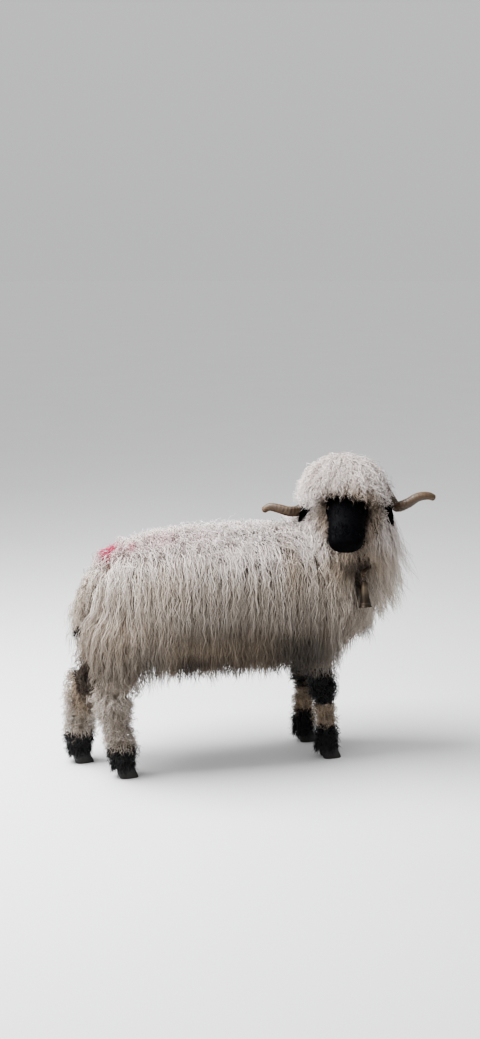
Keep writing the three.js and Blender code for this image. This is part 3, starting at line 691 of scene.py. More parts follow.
@dataclass
class Markings:
    """Where the coat is black, stained or dyed, and where shade is painted. Skin and coat ask the
    same functions.
    """

    anatomy: Anatomy

    def black(self, points: Array) -> Array:
        """The breed's black: muzzle and face, ears, knees, feet and the tail's tip.

        Args:
            points: Rows of points of the animal.

        Returns:
            A mask from 0 to 1.
        """
        a = self.anatomy
        x, y, z = points.T
        found = 1 - ease(z, np.where(x > 0, 98, np.where(y < 0, 92, 84)), np.where(x > 0, 128, 114))
        local = a.from_head(points)
        near = a.near_head(local, 240)
        if near.any():
            ahead, lateral, up = local[near].T
            front = ease(ahead, 30, 56) * (1 - ease(np.abs(lateral), 42, 60)) * ease(up, 0, 20)
            gap = a.skull.locate(points[near])[0]
            edge = mix(20, 70, ease(lateral, -36, 20))
            face = ease(ahead, edge, edge + 28)
            found[near] = np.maximum(front, face) * (1 - ease(gap, 10, 20))
        for name, share in (("front_right", 1.0), ("front_left", 0.62)):
            beside = (x > 200) & (np.abs(y - a.FEET[name][1]) < 70)
            knee = ease(z, 168, 200) * (1 - ease(z, 290, 324))
            found = np.maximum(found, knee * beside * share)
        tip = (x < -380) & (np.abs(y) < 45) & (z > 400)
        return np.maximum(found, tip * (1 - ease(z, 462, 476)))

    def stain_and_shade(self, points: Array) -> Array:
        """Earth and painted shade in the wool: belly, rump, hind legs, chest, shins, neck, cheeks,
        brow.

        Belly, rump, hind legs, chest and shins hold earth, and the neck above the bell painted
        shade. Cheeks and brow are partly brown tint and partly painted shade, more on the head's
        left side, which lies in shade. Each mark is a share times bell curves or smooth steps of
        the place. On the head they are asked in its own frame.

        Args:
            points: Rows of points of the animal.

        Returns:
            A mask from 0 for clean wool to 1.4 for caked earth.
        """
        x, y, z = points.T
        belly = (1 - ease(z, 330, 520)) * ease(x, -240, -120) * (1 - ease(x, 60, 240))
        rear = (1 - ease(x, -330, -190)) * ease(z, 230, 330) * (1 - ease(z, 400, 560))
        inner = (1 - ease(x, -330, -270)) * bump(z, 262, 84) * (1 - ease(np.abs(y - 40), 50, 84))
        inner = inner * (0.3 + 0.7 * ease(x, -452, -424))
        local = self.anatomy.from_head(points)
        # Cheeks: brown tint and painted shade, more on the head's left side, which lies in shade
        share = 0.7 + 0.24 * ease(local[:, 1], -10, 30)
        cheek = share * bump(np.linalg.norm(local - [88, 0, -20], axis=1), 70, 42)
        # Painted shade on the left of the brow, under the fringe
        cheek = cheek + 0.9 * bump(np.linalg.norm(local - [88, 24, 26], axis=1), 0, 34)
        # Painted shade on the neck between the muzzle and the bell
        throat_shade = bump(z, 645, 60) * bump(y, -220, 110) * bump(x, 415, 110)
        # Fringe wisps over the face's left side: partly brown tint, partly painted shade
        wisp_tint_and_shade = 0.9 * bump(local[:, 1], 26, 34) * ease(local[:, 0], 50, 80)
        wisp_tint_and_shade = wisp_tint_and_shade * bump(local[:, 2], 4, 60)
        behind = bump(x, 214, 34) * bump(z, 650, 110) * 0.5
        chest = bump(x, 345, 60) * bump(z, 530, 100) * 0.55
        shin = 0.75 * ease(x, 150, 250) * bump(z, 150, 50)
        brown = 0.9 * belly + 0.3 * rear + 1.35 * inner + behind + 0.35 * chest + shin
        return np.clip(brown + cheek + throat_shade + wisp_tint_and_shade, 0, 1.4)

    def dye(self, points: Array) -> Array:
        """A sprayed pink mark high on the right rump, with fainter spots along the back.

        Each spot fades as exp(-r^2) over its half lengths, and the strongest one counts.

        Args:
            points: Rows of points of the animal.

        Returns:
            A mask from 0 up to 1.5 in the middle of the mark.
        """
        spots = (
            ((-330, 24, 704), (33, 50, 42), 1.5),
            ((-272, -60, 726), (20, 26, 22), 0.8),
            ((-180, -56, 745), (60, 44, 30), 0.26),
            ((-60, -70, 745), (50, 40, 30), 0.14),
        )
        found = np.zeros(len(points))
        for middle, half, share in spots:
            far = (((points - middle) / half) ** 2).sum(1)
            found = np.maximum(found, share * np.exp(-far))
        return found

    def all(self, points: Array) -> dict[str, Array]:
        """The three masks by attribute name."""
        masks = {"black": self.black, "stain_and_shade": self.stain_and_shade, "dye": self.dye}
        return {key: mask(points) for key, mask in masks.items()}


# Finishes


class Nodes:
    """Short ways to put nodes into a tree."""

    def __init__(self, tree: bpy.types.NodeTree) -> None:
        """Works on one node tree."""
        self.tree = tree

    def give(self, node: bpy.types.Node, values: dict[str | int, Value]) -> None:
        """Sets a node's inputs, or links those whose value is another node's output.

        Args:
            node: The node.
            values: Values or outputs, by input name or index.
        """
        for key, value in values.items():
            if isinstance(value, bpy.types.NodeSocket):
                self.tree.links.new(value, node.inputs[key])
            else:
                node.inputs[key].default_value = value

    def add(
        self, kind: str, inputs: dict[str | int, Value] | None = None, **settings: object
    ) -> bpy.types.Node:
        """A node of a kind, with its properties set and its inputs set or linked.

        Args:
            kind: The node's type name.
            inputs: Values or outputs, by input name or index.
            **settings: Properties of the node.

        Returns:
            The node.
        """
        node = self.tree.nodes.new(kind)
        for key, value in settings.items():
            setattr(node, key, value)
        self.give(node, inputs or {})
        return node

    def math(self, operation: str, a: Value, b: Value = 0.0, clamp: bool = False) -> Socket:
        """One sum of two values."""
        node = self.add("ShaderNodeMath", {0: a, 1: b}, operation=operation, use_clamp=clamp)
        return node.outputs[0]

    def times(self, a: Value, b: Value, clamp: bool = False) -> Socket:
        """The product of two values."""
        return self.math("MULTIPLY", a, b, clamp)

    def plus(self, a: Value, b: Value) -> Socket:
        """The sum of two values."""
        return self.math("ADD", a, b)

    def minus(self, a: Value, b: Value) -> Socket:
        """The first value less the second."""
        return self.math("SUBTRACT", a, b)

    def scaled(self, vector: Value, by: Value) -> Socket:
        """A vector times another, each part by its own."""
        return self.add("ShaderNodeVectorMath", {0: vector, 1: by}, operation="MULTIPLY").outputs[0]

    def noise(
        self, vector: Value, scale: Value, detail: float = 3.0, rough: float = 0.5
    ) -> Socket:
        """Noise from 0 to 1 at a vector."""
        inputs = {"Vector": vector, "Scale": scale, "Detail": detail, "Roughness": rough}
        return self.add("ShaderNodeTexNoise", inputs).outputs["Fac"]

    def cells(self, vector: Value, scale: float) -> Socket:
        """The distance to the nearest of scattered points, for pebbled grain."""
        node = self.add("ShaderNodeTexVoronoi", {"Vector": vector, "Scale": scale})
        return node.outputs["Distance"]

    def blend(self, share: Value, a: Value, b: Value) -> Socket:
        """Two colours blended by a share."""
        return self.add("ShaderNodeMix", {0: share, 6: a, 7: b}, data_type="RGBA").outputs[2]

    def between(
        self, value: Value, low: float, high: float, a: float = 0.0, b: float = 1.0
    ) -> Socket:
        """A value's share between two limits, taken to two others."""
        inputs = {"Value": value, "From Min": low, "From Max": high, "To Min": a, "To Max": b}
        return self.add("ShaderNodeMapRange", inputs).outputs["Result"]

    def attribute(self, name: str, vector: bool = False) -> Socket:
        """An attribute of the mesh."""
        node = self.add("ShaderNodeAttribute", attribute_name=name)
        return node.outputs["Vector" if vector else "Fac"]

    def place(self) -> Socket:
        """The place on the object, in metres of the frame."""
        return self.add("ShaderNodeTexCoord").outputs["Object"]

    def split(self, vector: Value) -> bpy.types.NodeOutputs:
        """A vector's parts, as outputs named X, Y and Z."""
        return self.add("ShaderNodeSeparateXYZ", {"Vector": vector}).outputs

    def raised(self, height: Value, metres: float, strength: float) -> Socket:
        """A normal bent by a height, whose steps are so many metres deep."""
        inputs = {"Height": height, "Distance": metres, "Strength": strength}
        return self.add("ShaderNodeBump", inputs).outputs["Normal"]


def colour(red: float, green: float, blue: float) -> Colour:
    """A colour with full alpha, in linear light."""
    return (red, green, blue, 1.0)


def new_group(
    name: str, inputs: dict[str, str], outputs: dict[str, str]
) -> tuple[Nodes, bpy.types.NodeOutputs, bpy.types.Node]:
    """A shader node group with named sockets.

    Args:
        name: The group's name.
        inputs: Socket types by name.
        outputs: Socket types by name.

    Returns:
        A helper for the group's tree, what its input node gives, and its output node.
    """
    tree = bpy.data.node_groups.new(name, "ShaderNodeTree")
    for in_out, sockets in (("INPUT", inputs), ("OUTPUT", outputs)):
        for label, kind in sockets.items():
            tree.interface.new_socket(label, in_out=in_out, socket_type=kind)
    given = tree.nodes.new("NodeGroupInput")
    return Nodes(tree), given.outputs, tree.nodes.new("NodeGroupOutput")


@dataclass(frozen=True)
class WoolColours:
    """The wool's colours in linear light, from clean to black."""

    shaded: Colour = colour(0.30, 0.24, 0.19)
    cream: Colour = colour(0.86, 0.78, 0.70)
    top_shaded: Colour = colour(0.56, 0.47, 0.43)
    # Whiter wool for the back: partly paler wool, partly painted light from above
    top: Colour = colour(0.86, 0.81, 0.81)
    # Darker wool down the flank and low between the legs: partly grimier wool, partly painted shade
    dull: Colour = colour(0.13, 0.104, 0.078)
    grime_and_shade: Colour = colour(0.024, 0.019, 0.014)
    # Painted shade deep in the fleece, towards the roots
    root: Colour = colour(0.22, 0.17, 0.125)
    brown: Colour = colour(0.16, 0.115, 0.078)
    tan: Colour = colour(0.50, 0.39, 0.285)
    earth: Colour = colour(0.032, 0.021, 0.015)
    warm: Colour = colour(0.50, 0.37, 0.26)
    pink: Colour = colour(0.38, 0.018, 0.075)
    singed: Colour = colour(0.17, 0.115, 0.08)
    soot: Colour = colour(0.0005, 0.0005, 0.0009)
    soot_light: Colour = colour(0.0035, 0.0035, 0.0045)

    def group(self) -> bpy.types.NodeTree:
        """The colour of wool at a place, shared by the skin and every piece of the coat.

        Cream is clouded by noise, whiter and cooler along the back, darker down the flank and
        darker still low on it: partly paler or grimier wool, partly painted light from above and
        painted shade below. Towards the root it is darker, as painted shade deep in the fleece.
        The mask of earth and painted shade turns it tan and then earth brown, the dye mask pink,
        and the black mask black past a ragged brown edge.

        Returns:
            The group's tree, whose outputs are Color and Black.
        """
        single, vector = "NodeSocketFloat", "NodeSocketVector"
        n, given, made = new_group(
            "wool colour",
            {
                "Position": vector, "Black": single, "Stain_and_shade": single, "Dye": single,
                "Lot": single, "Along": single,
            },
            {"Color": "NodeSocketColor", "Black": single},
        )
        place, lot, stain_and_shade = given["Position"], given["Lot"], given["Stain_and_shade"]
        cloud, patch = n.noise(place, 7.0, 4.0, 0.6), n.noise(place, 2.6, 2.0)
        fine = n.noise(place, 60.0, 2.0)
        streak = n.noise(n.scaled(place, (1.0, 1.0, 0.14)), 42.0, 2.0)
        # Clean wool, lighter along the back: partly paler wool, partly painted light from above
        shade = n.plus(n.times(lot, 0.8), n.times(streak, 0.7))
        tone = n.blend(n.between(shade, 0.3, 1.05), self.shaded, self.cream)
        parts = n.split(place)
        loose = n.plus(n.times(cloud, 0.16), n.times(lot, -0.07))
        raised = n.plus(parts["Z"], n.minus(loose, 0.045))
        top = n.between(raised, 0.58, 0.73)
        pale_and_lit = n.blend(n.between(shade, 0.3, 1.0), self.top_shaded, self.top)
        top_lightened = n.blend(n.times(top, 0.8), tone, pale_and_lit)
        # Darker down the flank and low between the legs: partly grimier wool, partly painted shade
        ahead = n.between(parts["X"], 0.14, 0.26, 1.0, 0.35)
        length = n.times(n.between(parts["X"], -0.46, -0.22, 0.35, 1.0), ahead)
        lower = n.times(n.between(raised, 0.2, 0.34, 1.2, 0.88), length)
        down = n.between(raised, 0.68, 0.42)
        dulled_and_shaded = n.blend(n.times(down, lower), top_lightened, self.dull)
        ahead = n.between(parts["X"], 0.14, 0.26, 1.0, 0.45)
        flank = n.times(n.between(parts["X"], -0.42, -0.2, 0.6, 1.0), ahead)
        window = n.times(n.between(raised, 0.49, 0.34), n.between(raised, 0.26, 0.31))
        low = n.times(window, flank)
        grimed_and_shaded = n.blend(n.times(low, 0.92), dulled_and_shaded, self.grime_and_shade)
        # Painted shade deep in the fleece: darker towards the root, less along the back
        sunk = n.minus(1.0, n.times(top, 0.5))
        root_shade = n.times(n.between(given["Along"], 0.0, 0.6, 0.65, 0.0), sunk)
        deep = n.blend(root_shade, grimed_and_shaded, self.root)
        # From tan to caked earth, and painted shade above the bell and on the cheeks, by one mask
        soiled = n.between(n.plus(stain_and_shade, n.times(patch, 0.3)), 0.2, 0.8, 0.0, 0.8)
        share = n.times(soiled, n.between(low, 0.0, 1.0, 1.0, 0.4))
        tanned = n.blend(share, deep, n.blend(lot, self.brown, self.tan))
        caked = n.between(n.plus(stain_and_shade, n.between(cloud, 0.35, 0.65, -0.3, 0.2)), 0.7, 1.0)
        earthy = n.blend(n.times(caked, 0.93), tanned, self.earth)
        warmed = n.blend(n.between(patch, 0.55, 0.7, 0.0, 0.2), earthy, self.warm)
        # Dye and black
        sprayed = n.times(given["Dye"], n.between(fine, 0.25, 0.6, 0.9, 1.4), True)
        dyed = n.blend(sprayed, warmed, self.pink)
        ragged = n.plus(given["Black"], n.between(fine, 0.3, 0.7, -0.22, 0.22))
        singed = n.blend(n.between(ragged, 0.08, 0.42, 0.0, 0.8), dyed, self.singed)
        black = n.between(ragged, 0.42, 0.56)
        final = n.blend(black, singed, n.blend(lot, self.soot, self.soot_light))
        n.give(made, {"Color": final, "Black": black})
        return n.tree


def wear_group() -> bpy.types.NodeTree:
    """Fine grain and blotches over a hard or leather surface, as a mask and a height.

    Returns:
        The group's tree.
    """
    n, given, made = new_group(
        "grain and wear",
        {"Position": "NodeSocketVector", "Scale": "NodeSocketFloat", "Stretch": "NodeSocketVector"},
        {"Mask": "NodeSocketFloat", "Height": "NodeSocketFloat"},
    )
    stretched = n.scaled(given["Position"], given["Stretch"])
    coarse = n.noise(stretched, given["Scale"], 5.0, 0.62)
    fine = n.noise(stretched, n.times(given["Scale"], 6.0))
    n.give(made, {
        "Mask": n.between(coarse, 0.36, 0.64), "Height": n.plus(coarse, n.times(fine, 0.4))
    })
    return n.tree


class Workshop:
    """Keeps the shared node groups and starts each material."""

    def __init__(self) -> None:
        """Builds the groups once."""
        self.wool = WoolColours().group()
        self.wear = wear_group()

    def start(self, name: str) -> tuple[bpy.types.Material, Nodes, bpy.types.Node]:
        """An empty material with its Principled shader.

        Args:
            name: The material's name.

        Returns:
            The material, a helper for its tree, and the shader node.
        """
        material = bpy.data.materials.new(name)
        material.use_nodes = True
        return material, Nodes(material.node_tree), material.node_tree.nodes["Principled BSDF"]

    def worn(
        self, n: Nodes, place: Socket, scale: float,
        stretch: tuple[float, float, float] = (1.0, 1.0, 1.0),
    ) -> tuple[Socket, Socket]:
        """The grain and wear group put into a material.

        Args:
            n: The material's helper.
            place: Where on the surface it is asked.
            scale: How fine the blotches are.
            stretch: What each part of the place is multiplied by.

        Returns:
            The mask and the height.
        """
        inputs = {"Position": place, "Scale": scale, "Stretch": stretch}
        node = n.add("ShaderNodeGroup", inputs, node_tree=self.wear)
        return node.outputs["Mask"], node.outputs["Height"]

    def woolly(self, n: Nodes, place: Socket, lot: Socket, along: Value) -> tuple[Socket, Socket]:
        """The wool colour group put into a material, with the mesh's masks.

        Args:
            n: The material's helper.
            place: The place whose colour is wanted.
            lot: The strand's own tone.
            along: The share of the way from root to tip.

        Returns:
            The colour, and the share of black.
        """
        masks = {key: n.attribute(key.lower()) for key in ("Black", "Stain_and_shade", "Dye")}
        inputs = {"Position": place, "Lot": lot, "Along": along, **masks}
        node = n.add("ShaderNodeGroup", inputs, node_tree=self.wool)
        return node.outputs["Color"], node.outputs["Black"]


@dataclass(frozen=True)
class FleeceFinish:
    """Dull greasy wool fibres with a faint sheen."""

    name: str = "fleece fibre"
    roughness: float = 0.88
    black_roughness: float = 0.45
    sheen: float = 0.1
    sheen_roughness: float = 0.5
    gloss: float = 0.25

    def build(self, shop: Workshop) -> bpy.types.Material:
        """The material of the coat's strands.

        Args:
            shop: Where the shared groups are kept.

        Returns:
            The material.
        """
        material, n, shader = shop.start(self.name)
        wool, black = shop.woolly(
            n, n.attribute("root", True), n.attribute("lot"), n.attribute("along")
        )
        n.give(shader, {
            "Base Color": wool,
            "Roughness": n.between(black, 0.0, 1.0, self.roughness, self.black_roughness),
            "Sheen Weight": self.sheen,
            "Sheen Roughness": self.sheen_roughness,
            "Specular IOR Level": self.gloss,
        })
        return material


@dataclass(frozen=True)
class HairFinish:
    """Short black hair, with a low cool gloss and no sheen."""

    name: str = "short black hair"
    dark: Colour = colour(0.0003, 0.0003, 0.0007)
    light: Colour = colour(0.0026, 0.003, 0.005)
    roughness: tuple[float, float] = (0.5, 0.36)
    gloss: float = 0.03

    def build(self, shop: Workshop) -> bpy.types.Material:
        """The material of the short hair on face and ears.

        Args:
            shop: Where each material is started.

        Returns:
            The material.
        """
        material, n, shader = shop.start(self.name)
        lot = n.attribute("lot")
        n.give(shader, {
            "Base Color": n.blend(lot, self.dark, self.light),
            "Roughness": n.between(lot, 0.0, 1.0, *self.roughness),
            "Specular IOR Level": self.gloss,
        })
        return material


@dataclass(frozen=True)
class SkinFinish:
    """Skin under wool, and short black hair that lies flat on the face and the feet."""

    name: str = "skin and short hair"
    hair_scale: float = 620.0
    pore_scale: float = 520.0
    depth: float = 0.0009
    nose: Colour = colour(0.004, 0.004, 0.005)
    # The skin takes the wool's colour this share up a strand, so painted root shade darkens it
    wool_depth: float = 0.25
    roughness: tuple[float, float] = (0.9, 0.52)
    gloss: float = 0.03

    def build(self, shop: Workshop) -> bpy.types.Material:
        """The material of the one skin.

        Args:
            shop: Where the shared groups are kept.

        Returns:
            The material.
        """
        material, n, shader = shop.start(self.name)
        place = n.place()
        wool, black = shop.woolly(n, place, n.noise(place, 90.0), self.wool_depth)
        bare = n.between(n.attribute("bare"), 0.0, 1.0)
        hair = n.noise(n.attribute("flow", True), self.hair_scale, 4.0, 0.65)
        fluff = n.noise(place, 150.0, 4.0, 0.6)
        furred = n.plus(n.times(hair, 0.8), n.times(fluff, 0.6))
        height = n.blend(bare, furred, n.cells(place, self.pore_scale))
        dull = n.between(black, 0.0, 1.0, *self.roughness)
        streaked = n.plus(dull, n.between(hair, 0.3, 0.7, -0.08, 0.1))
        n.give(shader, {
            "Base Color": n.blend(bare, wool, self.nose),
            "Normal": n.raised(height, self.depth, 1.0),
            "Roughness": n.minus(streaked, n.times(bare, 0.12)),
            "Specular IOR Level": self.gloss,
        })
        return material


@dataclass(frozen=True)
class HornFinish:
    """Ringed horn, brown to tan, darker at its base, between its rings and in its grooves; the last
    two are soiling and painted shade.
    """

    name: str = "ringed horn"
    # Dark horn for the base, and for ring valleys and grooves as soiling and painted shade
    dirt_and_shade: Colour = colour(0.02, 0.012, 0.007)
    body: Colour = colour(0.082, 0.048, 0.027)
    end: Colour = colour(0.09, 0.06, 0.036)
    fleck: Colour = colour(0.15, 0.1, 0.06)
    roughness: tuple[float, float] = (0.42, 0.62)

    def build(self, shop: Workshop) -> bpy.types.Material:
        """The material of both horns.

        Args:
            shop: Where the shared groups are kept.

        Returns:
            The material.
        """
        material, n, shader = shop.start(self.name)
        along = n.attribute("along")
        mask, height = shop.worn(n, n.place(), 60.0)
        base = n.blend(n.between(along, 0.1, 0.75), self.dirt_and_shade, self.body)
        tip = n.blend(n.between(along, 0.86, 1.0, 0.0, 0.5), base, self.end)
        # Soiling and painted shade in the valleys between the rings and in the grooves
        lined_and_shaded = n.blend(n.times(n.attribute("ring"), 0.7), tip, self.dirt_and_shade)
        n.give(shader, {
            "Base Color": n.blend(n.times(mask, 0.3), lined_and_shaded, self.fleck),
            "Normal": n.raised(height, 0.0008, 0.6),
            "Roughness": n.between(mask, 0.0, 1.0, *self.roughness),
        })
        return material


@dataclass(frozen=True)
class HoofFinish:
    """Black-brown claws with growth rings and dried earth at the edge."""

    name: str = "claw horn"
    dark: Colour = colour(0.004, 0.004, 0.004)
    light: Colour = colour(0.014, 0.012, 0.01)
    dust: Colour = colour(0.045, 0.036, 0.028)
    roughness: tuple[float, float] = (0.38, 0.7)

    def build(self, shop: Workshop) -> bpy.types.Material:
        """The material of the eight claws.

        Args:
            shop: Where the shared groups are kept.

        Returns:
            The material.
        """
        material, n, shader = shop.start(self.name)
        mask, grain = shop.worn(n, n.place(), 45.0, (1.0, 1.0, 0.35))
        down = n.attribute("along")
        level = n.add("ShaderNodeCombineXYZ", {"Z": down}).outputs[0]
        rings = n.noise(level, 14.0, 2.0)
        horn = n.blend(n.between(rings, 0.3, 0.7), self.dark, self.light)
        dusty = n.times(mask, n.between(down, 0.6, 1.0, 0.0, 0.4), True)
        n.give(shader, {
            "Base Color": n.blend(dusty, horn, self.dust),
            "Normal": n.raised(n.plus(n.times(rings, 1.5), grain), 0.0006, 0.7),
            "Roughness": n.between(mask, 0.0, 1.0, *self.roughness),
        })
        return material


@dataclass(frozen=True)
class EyeFinish:
    """A sheep's eye: dark brown iris with a level slot pupil, under a clear wet coat."""

    name: str = "amber eye"
    pupil: Colour = colour(0.002, 0.002, 0.003)
    iris_dark: Colour = colour(0.028, 0.012, 0.004)
    iris_light: Colour = colour(0.11, 0.052, 0.016)
    white: Colour = colour(0.012, 0.008, 0.006)
    slot: tuple[float, float] = (0.5, 0.17)
    roughness: tuple[float, float] = (0.12, 0.2)
    wet_roughness: float = 0.03

    def build(self, shop: Workshop) -> bpy.types.Material:
        """The material of both eyes, drawn in the attribute `gaze`, whose X is out.

        The iris ends where hypot(0.62 y, z) passes 0.5 to 0.6, and the pupil where the sum
        of (y / half width)^4 and (z / half height)^4 passes 0.8 to 1.25.

        Args:
            shop: Where each material is started.

        Returns:
            The material.
        """
        material, n, shader = shop.start(self.name)
        gaze = n.attribute("gaze", True)
        parts = n.split(gaze)
        wide = n.times(parts["Y"], 0.62)
        square = n.plus(n.times(wide, wide), n.times(parts["Z"], parts["Z"]))
        across, tall = (
            n.math("POWER", n.math("ABSOLUTE", n.math("DIVIDE", parts[axis], half)), 4.0)
            for axis, half in zip("YZ", self.slot)
        )
        pupil = n.between(n.plus(across, tall), 0.8, 1.25, 1.0, 0.0)
        streaks = n.noise(gaze, 9.0, 6.0, 0.7)
        iris = n.blend(streaks, self.iris_dark, self.iris_light)
        ball = n.blend(n.between(n.math("SQRT", square), 0.5, 0.6), iris, self.white)
        n.give(shader, {
            "Base Color": n.blend(pupil, ball, self.pupil),
            "Roughness": n.between(streaks, 0.2, 0.8, *self.roughness),
            "Coat Weight": 1.0,
            "Coat Roughness": self.wet_roughness,
        })
        return material


@dataclass(frozen=True)
class BrassFinish:
    """Old bronze gone brown, rubbed bright on its bands, loop and clapper, with a painted highlight
    round the bell's upper shell.
    """

    name: str = "old bell bronze"
    dark: Colour = colour(0.014, 0.010, 0.007)
    brown: Colour = colour(0.055, 0.042, 0.028)
    # Rubbed bronze, and the painted highlight on the bell's upper shell
    bright: Colour = colour(0.24, 0.19, 0.135)
    metallic: tuple[float, float] = (0.5, 0.85)
    roughness: tuple[float, float] = (0.55, 0.36)

    def build(self, shop: Workshop) -> bpy.types.Material:
        """The material of the bell and its clapper.

        Args:
            shop: Where the shared groups are kept.

        Returns:
            The material.
        """
        material, n, shader = shop.start(self.name)
        mask, height = shop.worn(n, n.place(), 55.0)
        patina = n.blend(mask, self.dark, self.brown)
        # rub: wear on bands, loop and clapper, and a painted highlight on the upper shell
        n.give(shader, {
            "Base Color": n.blend(n.times(n.attribute("rub"), 0.45), patina, self.bright),
            "Metallic": n.between(mask, 0.0, 1.0, *self.metallic),
            "Roughness": n.between(mask, 0.0, 1.0, *self.roughness),
            "Normal": n.raised(height, 0.0009, 0.5),
        })
        return material


@dataclass(frozen=True)
class LeatherFinish:
    """Dark greased leather with a fine pebble grain and paler rubbed edges."""

    name: str = "greased leather"
    dark: Colour = colour(0.035, 0.02, 0.013)
    light: Colour = colour(0.085, 0.05, 0.03)
    rubbed: Colour = colour(0.23, 0.15, 0.09)
    pebble_scale: float = 700.0
    roughness: tuple[float, float] = (0.5, 0.72)

    def build(self, shop: Workshop) -> bpy.types.Material:
        """The material of the collar and the strap.

        Args:
            shop: Where the shared groups are kept.

        Returns:
            The material.
        """
        material, n, shader = shop.start(self.name)
        place = n.place()
        mask, grain = shop.worn(n, place, 90.0)
        hide = n.blend(mask, self.dark, self.light)
        n.give(shader, {
            "Base Color": n.blend(n.times(n.attribute("rub"), 0.6), hide, self.rubbed),
            "Normal": n.raised(n.plus(n.cells(place, self.pebble_scale), grain), 0.0005, 0.6),
            "Roughness": n.between(mask, 0.0, 1.0, *self.roughness),
        })
        return material


# Skin


@dataclass
class Skin:
    """One skin over trunk, neck, head, ears, legs and tail.

    The tubes are fused by a voxel remesh. The head is added as a finer surface whose rings
    are pushed in and out for sockets, lids, nostrils, mouth and lips.
    """

    anatomy: Anatomy
    markings: Markings
    place: Place
    voxel: float = 6.0
    crown_under: float = 24.0
    eye_at: float = 0.478
    eye_angle: float = 22.0
    eye_radius: float = 13.5
    eye_proud: float = 3.5
    head_rings: int = 210
    head_sides: int = 168
    nose_rings: int = 34
    head_start: float = 0.04
    dome: float = 9.0
    ear_rings: int = 44
    ear_half: int = 18

    def eye_frame(self, way: float) -> tuple[Array, Array, Array, Array]:
        """An eye's middle, the way out of it, towards the nose, and up over it.

        Args:
            way: 1 for the left eye, -1 for the right.

        Returns:
            The middle and three directions.
        """
        skull = self.anatomy.skull
        angle = math.radians(self.eye_angle if way > 0 else 180 - self.eye_angle)
        t, a = np.array([self.eye_at]), np.array([angle])
        out = skull.outward(t, a)[0]
        middle = skull.point(t, a)[0] + out * (self.eye_proud - self.eye_radius)
        nose = self.anatomy.head_turn[:, 0]
        over = np.cross(out, nose) * way
        return middle, out, nose, over / np.linalg.norm(over)

    def fused(self) -> tuple[Array, Array]:
        """The body's tubes fused into one surface by a voxel remesh, then smoothed.

        Returns:
            Points in the animal's millimetres, and quads.
        """
        a = self.anatomy
        parts = [
            a.trunk.shell(60, 64), a.neck.shell(40, 48), a.tail.shell(30, 24),
            *(leg.shell(60, 32) for leg in a.legs.values()),
            a.crown.shell(30, 48, -self.crown_under), a.skull.shell(30, 40, -3.0),
        ]
        points, quads, caps, base = [], [], [], 0
        for part, faces in parts:
            points.append(part)
            quads.append(faces[0] + base)
            caps.append(faces[1] + base)
            base += len(part)
        rough = make_mesh(
            "rough", np.vstack(points) / 1000, [np.vstack(quads), np.vstack(caps)]
        )
        remesh = rough.modifiers.new("fuse", "REMESH")
        remesh.mode = "VOXEL"
        remesh.voxel_size = self.voxel / 1000
        smooth = rough.modifiers.new("soften", "SMOOTH")
        smooth.factor = 0.5
        smooth.iterations = 6
        evaluated = rough.evaluated_get(bpy.context.evaluated_depsgraph_get())
        mesh = evaluated.to_mesh()
        co = np.zeros(len(mesh.vertices) * 3, np.float32)
        mesh.vertices.foreach_get("co", co)
        mesh.calc_loop_triangles()
        tris = np.zeros(len(mesh.loop_triangles) * 3, np.int32)
        mesh.loop_triangles.foreach_get("vertices", tris)
        evaluated.to_mesh_clear()
        bpy.data.objects.remove(rough)
        return co.reshape(-1, 3).astype(float) * 1000, tris.reshape(-1, 3)

    def head(self) -> tuple[Array, list[Array], Array]:
        """The head's fine surface.

        Rings follow the skull's tube and close over the nose by a quarter of an ellipse.
        Then points move along the way out by the sum of the bones, mouth, nose and sockets.

        Returns:
            Points, faces, and a mask of bare skin on the nose.
        """
        a = self.anatomy
        skull = a.skull
        rings, sides, nose = self.head_rings, self.head_sides, self.nose_rings
        along = np.concatenate([np.linspace(self.head_start, 1, rings - nose), np.ones(nose)])
        share = np.concatenate([np.zeros(rings - nose), np.linspace(0, 0.985, nose + 1)[1:]])
        t, angle = lattice(along, sides)
        closing = np.repeat(share, sides)
        f = skull.frame(t)
        r = skull.reach(f["size"], t, angle, 0.0) * np.sqrt(1 - closing**2)
        points = f["at"] + skull.spoke(f, angle) * r[:, None]
        points = self.tapered(points + f["along"] * (closing * self.dome)[:, None])
        grid = points.reshape(rings, sides, 3)
        down_rings = np.gradient(grid, axis=0)
        around = (np.roll(grid, -1, 1) - np.roll(grid, 1, 1)) / 2
        out = unit(np.cross(around, down_rings)).reshape(-1, 3)
        local = a.from_head(points)
        nose_moves, bare = self.nose(local)
        moves = [
            *self.bones(local), self.mouth(points, local), *nose_moves,
            self.socket(points, 1), self.socket(points, -1),
        ]
        points = points + out * sum(moves)[:, None]
        ends = skull.frame(np.array([self.head_start, 1.0]))
        tip = ends["at"][1] + ends["along"][1] * self.dome
        return (
            np.vstack([points, ends["at"][0], tip]), tube_faces(rings, sides),
            np.concatenate([bare, [0, 1]]),
        )

    def tapered(self, points: Array) -> Array:
        """Points drawn in towards the nose, by shares of their place ahead, across and up.

        Args:
            points: Rows of points of the animal.

        Returns:
            The same points, moved.
        """
        local = self.anatomy.from_head(points)
        nearer = 1 - ease(local[:, :1], 165, 250) * [0.066, 0.10, 0.12]
        return self.anatomy.in_head(local * nearer)

